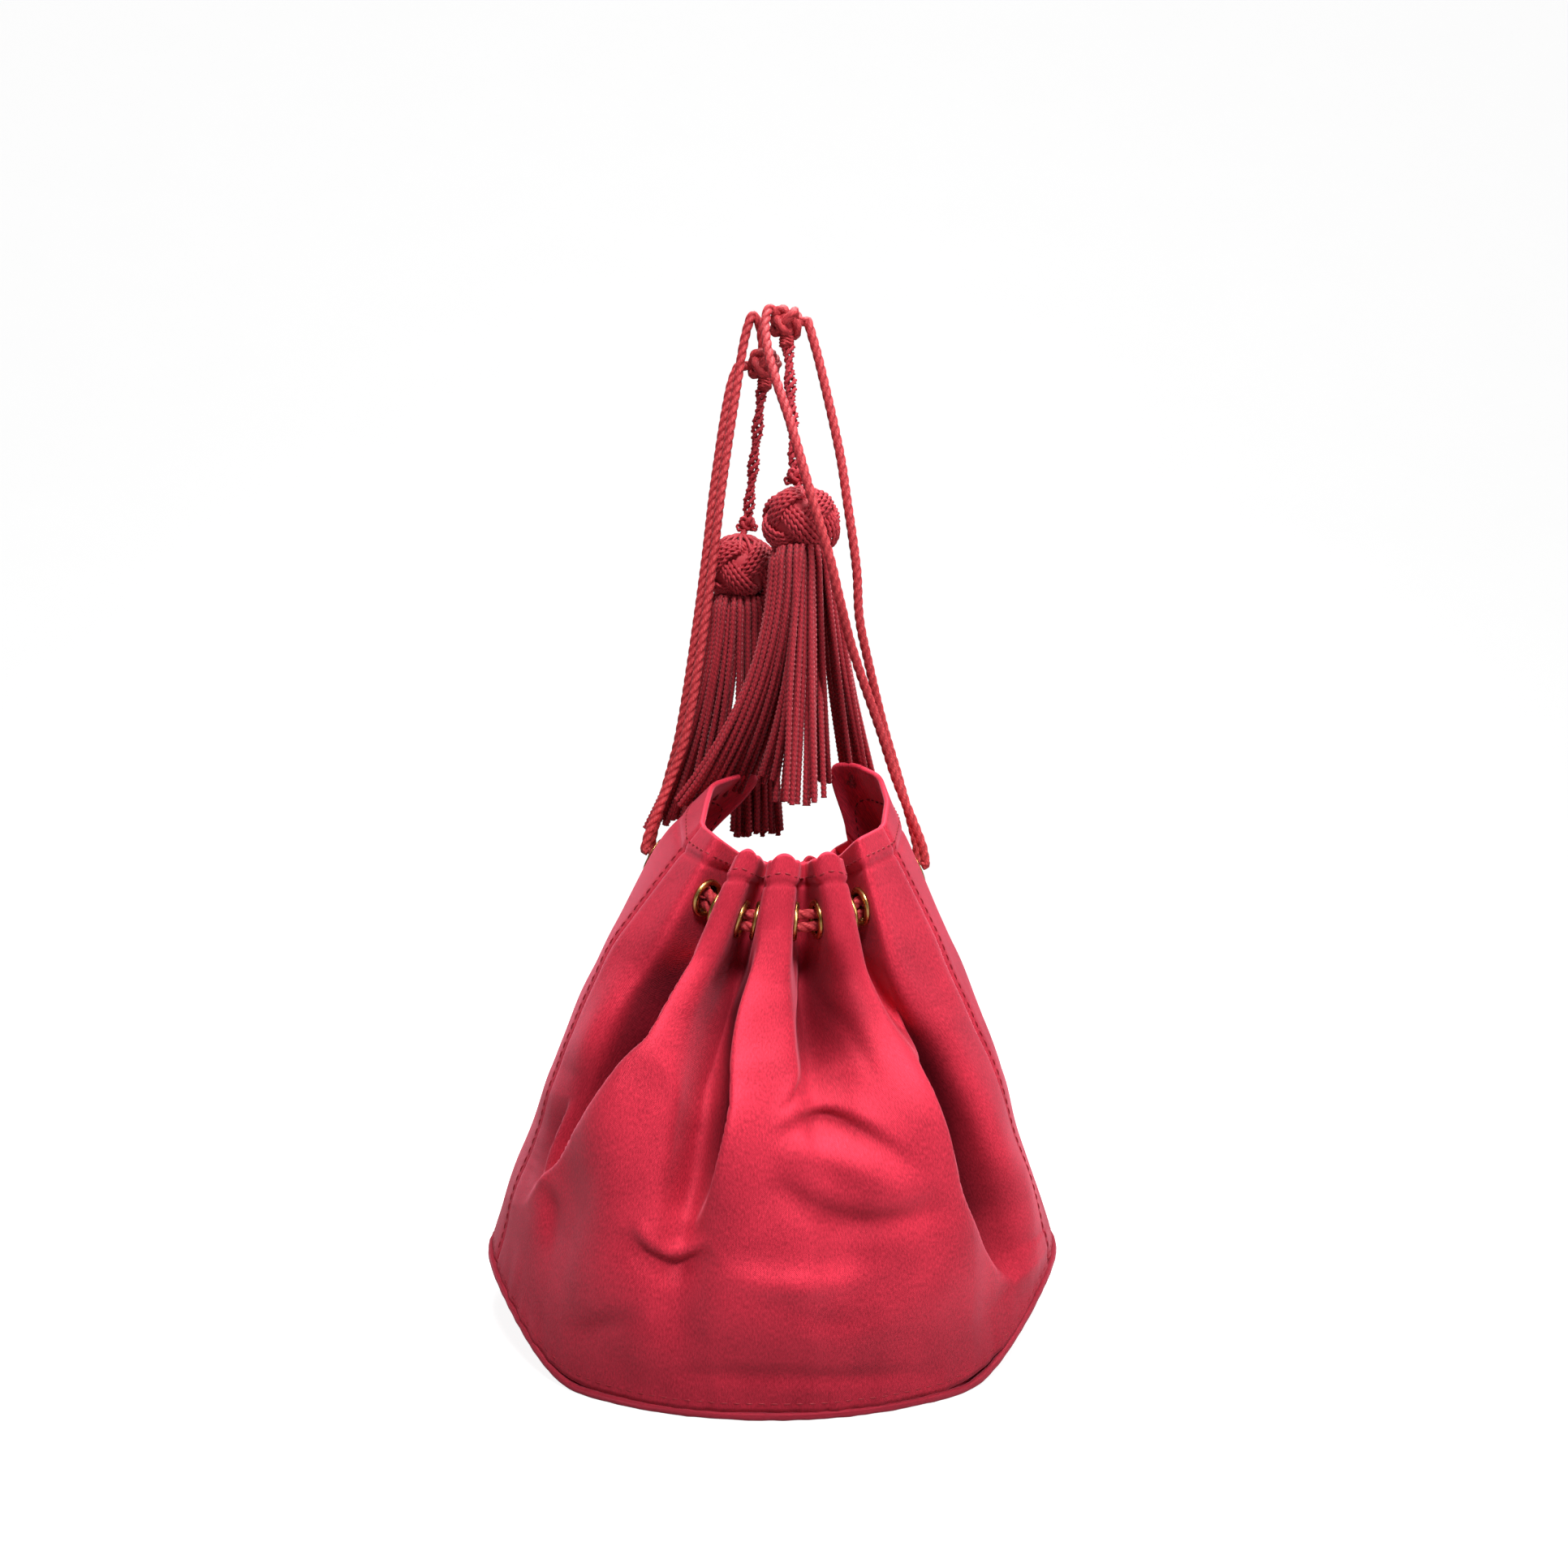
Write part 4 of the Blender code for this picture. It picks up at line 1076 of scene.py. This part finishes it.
def plate(name, shrink, low, high, material, node):
    """A bent oval sheet with a rounded edge."""
    sides = 120
    rings = (0.02, 0.2, 0.38, 0.52, 0.64, 0.74, 0.83, 0.90, 0.95, 0.985, 1.0)
    layers = []
    for height, order in ((low, rings), (high, rings[::-1])):
        for reach in order:
            ring = []
            for k in range(sides):
                angle = 2 * math.pi * k / sides
                x = (BASE_A - shrink) * math.sin(angle) * reach
                y = -(BASE_B - shrink) * math.cos(angle) * reach
                pinch = 0.03 * smoothstep((reach - 0.95) / 0.05) * (1 if height == low else -1)
                ring.append((x, y, lift(x) + height + pinch))
            layers.append(ring)
    points = np.array(layers)
    count = len(layers)
    faces = []
    for i in range(count - 1):
        for k in range(sides):
            m = (k + 1) % sides
            faces.append((i * sides + k, i * sides + m, (i + 1) * sides + m, (i + 1) * sides + k)[::-1])
    faces.append(tuple(range(sides)))
    faces.append(tuple((count - 1) * sides + k for k in reversed(range(sides))))
    builder = Builder()
    builder.add(points.reshape(-1, 3), faces, points.reshape(-1, 3)[:, :2])
    return builder.make(name, material, "bag", node)


def make_base():
    """Base, its piping and the lining's floor."""
    for name, inset, low, high, material, node, slot in (
            ("base_satin", 0.13, 0.0, BASE_T, SATIN, "base_panel", "satin"),
            ("floor_twill", 0.40, BASE_T + 0.10, BASE_T + 0.16, LINING, "lining_floor", "lining")):
        obj = plate(name, inset, low, high, material, node)
    middle = Vector((0, 0, PIPING_R + 0.005))
    rim = even_path([base_edge(degrees) + middle for degrees in range(0, 360, 2)], 0.12, True)
    lumps = noise_at(rim, 0.35, 2.0) * 0.018

    def radius(angle, along):
        return PIPING_R + lumps[:, None] + 0 * angle

    builder = Builder()
    sweep(builder, rim, radius, 12, closed=True)
    builder.make("base_piping_cord", PIPING, "bag", "base_piping")


def make_eyelets():
    """Rounded brass rings, front flange, barrel and washer."""
    mid_r = (EYE_HOLE_R + EYE_FLANGE_R) / 2
    half = (EYE_FLANGE_R - EYE_HOLE_R) / 2
    for name, (_, centre, normal) in EYES.items():
        rise = EXIT_RISE if "exit" in name else EYE_RISE
        profile = []
        for k in range(13):
            angle = math.pi * k / 12
            profile.append((mid_r + half * math.cos(angle), EYE_OUT + rise * math.sin(angle) ** 0.8))
        profile += [(EYE_HOLE_R, 0.0), (EYE_HOLE_R, EYE_IN)]
        for k in range(7):
            angle = math.pi * (1 + k / 6)
            profile.append((mid_r + half * math.cos(angle), EYE_IN + 0.08 * math.sin(angle)))
        profile += [(EYE_HOLE_R + BARREL_T, EYE_IN), (EYE_HOLE_R + BARREL_T, EYE_OUT)]
        builder = Builder()
        lathe(builder, profile[::-1], centre, normal, 40, closed=True)
        builder.make(name + "_brass", BRASS, "bag", name)


def exit_points(side, which):
    """Just outside and just inside one of the side eyelets."""
    _, centre, normal = EYES["eyelet_%s_exit_%s" % (side, which)]
    return centre + normal * CORD_END, centre - normal * 0.35


def drawstring_routes():
    """Routes of the two cords round the mouth, as in the CAD."""
    front = [EYES["eyelet_front_" + name][1] for name, _, _ in FRONT_EYELETS]
    back = [EYES["eyelet_back_" + name][1] for name, _, _ in FRONT_EYELETS]
    up = Vector((0, 0, STACK))
    out_a, in_a = exit_points("left", "front")
    out_b, in_b = exit_points("left", "back")
    upper = ([out_a, in_a, (-3.50, -1.20, 15.35), (-2.95, -2.95, 14.90)] + [p + up for p in front]
             + list(INSIDE_RIGHT) + [p + up for p in back] + [(-3.00, 3.55, 14.35), in_b, out_b])
    out_a, in_a = exit_points("right", "front")
    out_b, in_b = exit_points("right", "back")
    lower = ([out_b, in_b, (3.65, 3.15, 14.22)] + [p - up for p in back] + list(INSIDE_LEFT)
             + [p - up for p in front] + [(3.70, -3.30, 14.22), (4.35, -1.20, 14.40), in_a, out_a])
    return {"left": smooth_path(upper, DRAWSTRING_STEPS), "right": smooth_path(lower, DRAWSTRING_STEPS)}


def rope(name, path, body, node, **facts):
    """A free cord of three twisted strands."""
    line = even_path(path, ROPE_STEP)
    builder = Builder()
    sweep(builder, line, rope_radius(CORD_R * 1.04, swell=0.55), 24)
    obj = builder.make(name, CORD, body, node)


def woven_ball(builder, centre, axis, reach, height, bights, lanes, yarn, over, tilt=58.0, pitch=0.5):
    """Bands of parallel yarns plaited round a ball: each band passes over and under the other two in turn."""
    turn = turn_to(axis)
    steps = int(360 * bights)
    psi = np.linspace(0, 2 * math.pi * bights, steps, endpoint=False)
    azimuth = 3 * psi / bights
    latitude = math.radians(tilt) * np.sin(psi)

    def on_ball(extra, side):
        flat = np.cos(latitude)
        direction = np.stack([flat * np.cos(azimuth), flat * np.sin(azimuth), np.sin(latitude)], axis=1)
        along = unit(np.roll(direction, -1, axis=0) - np.roll(direction, 1, axis=0))
        across = unit(np.cross(direction, along))
        lifted = unit(direction * reach + across * side)
        radius = reach - yarn + over * np.sin(2 * psi) + extra
        return lifted * radius[:, None], lifted

    for lane in range(lanes):
        side = (lane - (lanes - 1) / 2) * 2 * yarn * 0.96
        crown = -0.60 * yarn * (2 * abs(lane - (lanes - 1) / 2) / max(1, lanes - 1)) ** 2
        line, hints = on_ball(crown, side)
        stretch = np.array((1.0, 1.0, height / reach))
        line = line * stretch
        line = np.vstack([line, line[:1]])
        hints = np.vstack([hints, hints[:1]])
        marks = run_lengths(line)
        at = np.linspace(0, marks[-1], int(marks[-1] / (yarn * 0.42)), endpoint=False)
        line = at_lengths(at, marks, line)
        hints = at_lengths(at, marks, hints)
        whole = marks[-1] / max(1, round(marks[-1] / pitch))
        outline = rope_radius(yarn * 1.05, whole, 2 if lanes > 1 else 3)
        line = line @ turn.T + np.array(tuple(centre))
        sweep(builder, line, outline, 10, closed=True, hints=hints @ turn.T)


def ball(builder, centre, axis, reach, height):
    """A plain dark core inside a knot."""
    profile = [(0, -height)]
    profile += [(reach * math.cos(a), height * math.sin(a)) for a in angles(-75, 76, 15)]
    profile.append((0, height))
    lathe(builder, profile, centre, axis, 24)


def make_knot(side, centre):
    """A button knot with a bound collar under it."""
    builder = Builder()
    centre = np.array(centre)
    woven_ball(builder, centre, (0.15, -0.2, 1), KNOT_R, KNOT_R, 4, 1, CORD_R, 0.09, tilt=52.0,
               pitch=ROPE_PITCH)
    ball(builder, centre, (0, 0, 1), KNOT_R - 0.17, KNOT_R - 0.15)
    for k in range(3):
        ring = [centre + np.array((0.20 * math.cos(a), 0.20 * math.sin(a), -0.56 - 0.115 * k))
                for a in angles(0, 360, 12)]
        sweep(builder, np.array(ring), rope_radius(0.085, 0.42, 2), 10, closed=True)
    profile = ((0, -0.95), (0.16, -0.93), (0.2, -0.6), (0, -0.3))
    lathe(builder, profile, centre, (0, 0, 1), 16)
    return builder.make(side + "_knot_plait", CORD, side + "_loop", side + "_knot")


def make_loops():
    """The free strands of each cord, which end in its knot."""
    routes = {"left": (LEFT_LOOP_FRONT, LEFT_LOOP_BACK, LEFT_KNOT),
              "right": (RIGHT_LOOP_FRONT, RIGHT_LOOP_BACK, RIGHT_KNOT)}
    for side, (front, back, knot_place) in routes.items():
        knot = make_knot(side, knot_place)
        for which, route in (("front", front), ("back", back)):
            _, centre, normal = EYES["eyelet_%s_exit_%s" % (side, which)]
            path = smooth_path((centre + normal * PIVOT,) + route, LOOP_STEPS * 4)
            path = [centre + normal * (PIVOT - 0.16)] + path + [path[-1].lerp(Vector(knot_place), 0.45)]
            with_pieces = [knot] if which == "front" else []
            rope("%s_loop_%s_rope" % (side, which), path, side + "_loop", "%s_loop_%s_strand" % (side, which),
                 far_end="knot", lay="taut", with_pieces=with_pieces)


def make_drawstrings():
    """The runs of the cords through the eyelets."""
    for side, path in drawstring_routes().items():
        rope(side + "_drawstring_rope", path, "bag", side + "_drawstring", far_end="object", lay="taut")


def make_tassel(side, tassel):
    """Braid, bow, plaited head and skirt of one tassel."""
    body = side + "_tassel"
    top, bow, head, end = (np.array(tassel[k]) for k in ("top", "bow", "head", "end"))
    hang = unit(end - head)
    builder = Builder()
    down = unit(bow - top)
    start, stop = top - down * 0.1, bow - down * 0.25
    length = np.linalg.norm(stop - start)
    count = int(length / 0.04)
    s = np.linspace(0, length, count)
    side_a = unit(np.cross(down, (0.0, 1.0, 0.0)))
    side_b = np.cross(down, side_a)
    for phase in (0.0, math.pi * 2 / 3, math.pi * 4 / 3):
        turn = 2 * math.pi * s / 0.95 + phase
        open_ = 0.125 + 0.045 * np.cos(2 * math.pi * s / 1.35)
        line = (start + down * s[:, None] + side_a * (np.cos(turn) * open_)[:, None]
                + side_b * (np.sin(turn) * open_ * 0.7)[:, None])
        sweep(builder, line, rope_radius(0.098, 0.32, 2), 8)
    builder.make(side + "_tassel_braid_plait", PLAIT, body, side + "_tassel_braid")

    builder = Builder()
    woven_ball(builder, bow, -hang, 0.30, 0.33, 4, 1, 0.095, 0.05, tilt=50.0, pitch=0.4)
    ball(builder, bow, -hang, 0.17, 0.2)
    for sign in (-1, 1):
        loop = [bow + np.array((sign * (0.16 + 0.10 * (1 - math.cos(a))), -0.06, -0.16 + 0.11 * math.sin(a)))
                for a in angles(0, 360, 15)]
        sweep(builder, np.array(loop), rope_radius(0.075, 0.3, 2), 8, closed=True)
    stem = np.linspace(bow, head - hang * HEAD_H * 0.42, 12)
    sweep(builder, stem, rope_radius(0.13, 0.6, 3), 12)
    builder.make(side + "_tassel_bow", PLAIT, body, side + "_tassel_top_knot")

    builder = Builder()
    woven_ball(builder, head, -hang, HEAD_R, HEAD_H / 2, 5, 5, HEAD_YARN_R, 0.13, tilt=47.0, pitch=0.46)
    ball(builder, head, -hang, HEAD_R - 0.17, HEAD_H / 2 - 0.14)
    for k in range(16):
        a = 2 * math.pi * k / 16
        out = side_dirs(hang, a)
        cap = [head - hang * (HEAD_H / 2 * math.cos(t)) * 0.985 + out * (HEAD_R * 0.93 * math.sin(t))
               for t in angles(4, 64, 6)]
        sweep(builder, np.array(cap), rope_radius(HEAD_YARN_R, 0.4, 2), 8)
    builder.make(side + "_tassel_head_plait", PLAIT, body, side + "_tassel_head")
    make_skirt(side, tassel, body, head, hang)


def side_dirs(hang, angle):
    """A direction across the tassel's line."""
    a = unit(np.cross(hang, (0.0, 1.0, 0.0)))
    return a * math.cos(angle) + np.cross(hang, a) * math.sin(angle)


def make_skirt(side, tassel, body, head, hang):
    """Chainette yarns that hang from under the head and fan out over the mouth of the bag."""
    builder = Builder()
    under = head + hang * (HEAD_H / 2 * 0.80)
    for ring, (share, count) in enumerate(SKIRT_RINGS):
        for k in range(count):
            angle = 2 * math.pi * (k + 0.5 * (ring % 2) + random.uniform(-0.18, 0.18)) / count
            out = side_dirs(hang, angle)
            start = under + out * SKIRT_TOP_R * share * 0.90
            place = out[0] * share + random.uniform(-0.05, 0.05)
            group = next((g for g in tassel["fan"] if place <= g["to"]), tassel["fan"][-1])
            t = min(1.0, max(0.0, (place - group["from"]) / (group["to"] - group["from"])))
            left, right = (np.array(group[key]) for key in ("left_end", "right_end"))
            end = left + (right - left) * t
            end = end + np.array((random.uniform(-0.10, 0.10), out[1] * share * group["deep"],
                                  random.uniform(-0.28, 0.05)))
            sway = side_dirs(hang, random.uniform(0, 2 * math.pi)) * random.uniform(0.0, 0.10)
            points = []
            for u in (0.0, 0.06, 0.15, 0.3, 0.45, 0.6, 0.75, 0.88, 1.0):
                point = start + (end - start) * u ** group["bend"]
                point[2] = start[2] + (end[2] - start[2]) * u
                if u == 0.0:
                    point = point - out * 0.12
                points.append(point + sway * math.sin(math.pi * u * 1.3))
            line = even_path(smooth_path(points, 4), YARN_STEP)
            sweep(builder, line, chain_radius(YARN_R), 8, start=random.uniform(0.0, YARN_PITCH))
    builder.make(side + "_tassel_skirt_yarns", TASSEL, body, side + "_tassel_skirt")


def stitches(name, route, normals, long=0.24, thick=0.022):
    """A row of small raised stitches along a route on the fabric."""
    marks = run_lengths(route)
    builder = Builder()
    at = STITCH_GAP
    ring = np.arange(6) * math.pi / 3
    while at + long < marks[-1]:
        ends = [at_lengths(s, marks, route) for s in (at, at + long)]
        out = unit(at_lengths(at + long / 2, marks, normals))
        along = unit(ends[1] - ends[0])
        side = np.cross(along, out)
        points = []
        for share, size, rise in STITCH_SHAPE:
            centre = ends[0] + (ends[1] - ends[0]) * share + out * rise * thick
            points += [centre + (out * math.cos(a) + side * math.sin(a)) * thick * size for a in ring]
        faces = [(i * 6 + k, i * 6 + (k + 1) % 6, i * 6 + 6 + (k + 1) % 6, i * 6 + 6 + k)
                 for i in range(len(STITCH_SHAPE) - 1) for k in range(6)]
        faces.append(tuple(range(6))[::-1])
        faces.append(tuple(24 + k for k in range(6)))
        builder.add(points, [f[::-1] for f in faces])
        at += long + STITCH_GAP
    builder.make(name, THREAD, "bag")


def make_stitching():
    """Topstitching beside the seams, along the hem and above the piping."""
    half = FABRIC_T / 2
    for index, seam in enumerate(SEAMS):
        into = -1 if seam in (0, BACK_START) else 1
        column = (seam_column(seam) + 2 * into) % len(WALL)
        rows = slice(4, ROWS - 5)
        out = WALL_OUT[column, rows]
        stitches("seam_stitch_%d" % index, WALL[column, rows] + out * (half - 0.01), out)

    def ring(row):
        """The wall's points and outward directions all round at one row."""
        return np.vstack([WALL[:, row], WALL[:1, row]]), np.vstack([WALL_OUT[:, row], WALL_OUT[:1, row]])

    hem, out = ring(int(HEM_STITCH_ROW * (ROWS - 1)))
    stitches("hem_stitch", hem + out * (half + 0.045), out, long=0.22, thick=0.034)
    stitches("hem_stitch_inside", hem - out * (half + 0.09), -out, long=0.22, thick=0.034)
    foot, out = ring(2)
    stitches("foot_stitch", foot + out * (half - 0.01), out, long=0.26)


def make_stage():
    """Pale floor that curves up into a backdrop, soft lights and the camera."""
    points = []
    for x in (-FLOOR_SIDE, FLOOR_SIDE):
        points += [(x, FLOOR_FRONT, 0.0), (x, FLOOR_BACK, 0.0)]
        points += [(x, FLOOR_BACK + COVE_R * math.sin(a), COVE_R * (1.0 - math.cos(a)))
                   for a in angles(10, 91, 10)]
        points.append((x, FLOOR_BACK + COVE_R, BACKDROP_TOP))
    half = len(points) // 2
    faces = [(i, i + half, i + half + 1, i + 1) for i in range(half - 1)]
    mesh = bpy.data.meshes.new("floor")
    mesh.from_pydata(points, [], faces)
    n = Nodes("floor_paper")
    fine = n.value("ShaderNodeTexNoise", {"Scale": 40.0, "Detail": 3.0})
    seen = n.value("ShaderNodeLightPath", {}, "Is Camera Ray")
    n.shade({
        "Base Color": n.ramp(fine, ((0.3, (0.30, 0.30, 0.30)), (0.7, (0.32, 0.32, 0.32)))),
        "Roughness": 0.9,
        "Emission Color": (1.0, 1.0, 1.0, 1.0),
        "Emission Strength": n.times(seen, 0.90),
    })
    smooth_object("floor", mesh, n.material)
    world = bpy.data.worlds.new("studio")
    bpy.context.scene.world = world
    world.use_nodes = True
    tree = world.node_tree
    background = tree.nodes["Background"]
    background.inputs["Color"].default_value = (1.0, 1.0, 1.0, 1)
    strength = tree.nodes.new("ShaderNodeMapRange")
    strength.inputs["To Min"].default_value = WORLD_LIGHT
    strength.inputs["To Max"].default_value = 1.0
    tree.links.new(tree.nodes.new("ShaderNodeLightPath").outputs["Is Camera Ray"], strength.inputs["Value"])
    tree.links.new(strength.outputs["Result"], background.inputs["Strength"])
    for name, place, size, power in LIGHTS:
        light = bpy.data.lights.new(name, 'AREA')
        light.size = size
        light.energy = power
        obj = put_in_scene(name, light)
        obj.location = place
        obj.rotation_euler = (Vector(LIGHT_AIM) - Vector(place)).to_track_quat('-Z', 'Y').to_euler()
    camera = bpy.data.cameras.new("camera")
    camera.lens = CAMERA_LENS
    camera.sensor_width = 36.0
    camera.shift_y = CAMERA_SHIFT_Y
    obj = put_in_scene("camera", camera)
    obj.location = CAMERA_PLACE
    obj.rotation_euler = (math.pi / 2, 0, 0)
    bpy.context.scene.camera = obj
    bpy.context.scene.view_settings.view_transform = 'Standard'


make_stage()
make_loops()
make_drawstrings()
make_panels()
make_lining()
make_base()
make_eyelets()
make_tassel("right", RIGHT_TASSEL)
make_tassel("left", LEFT_TASSEL)
make_stitching()
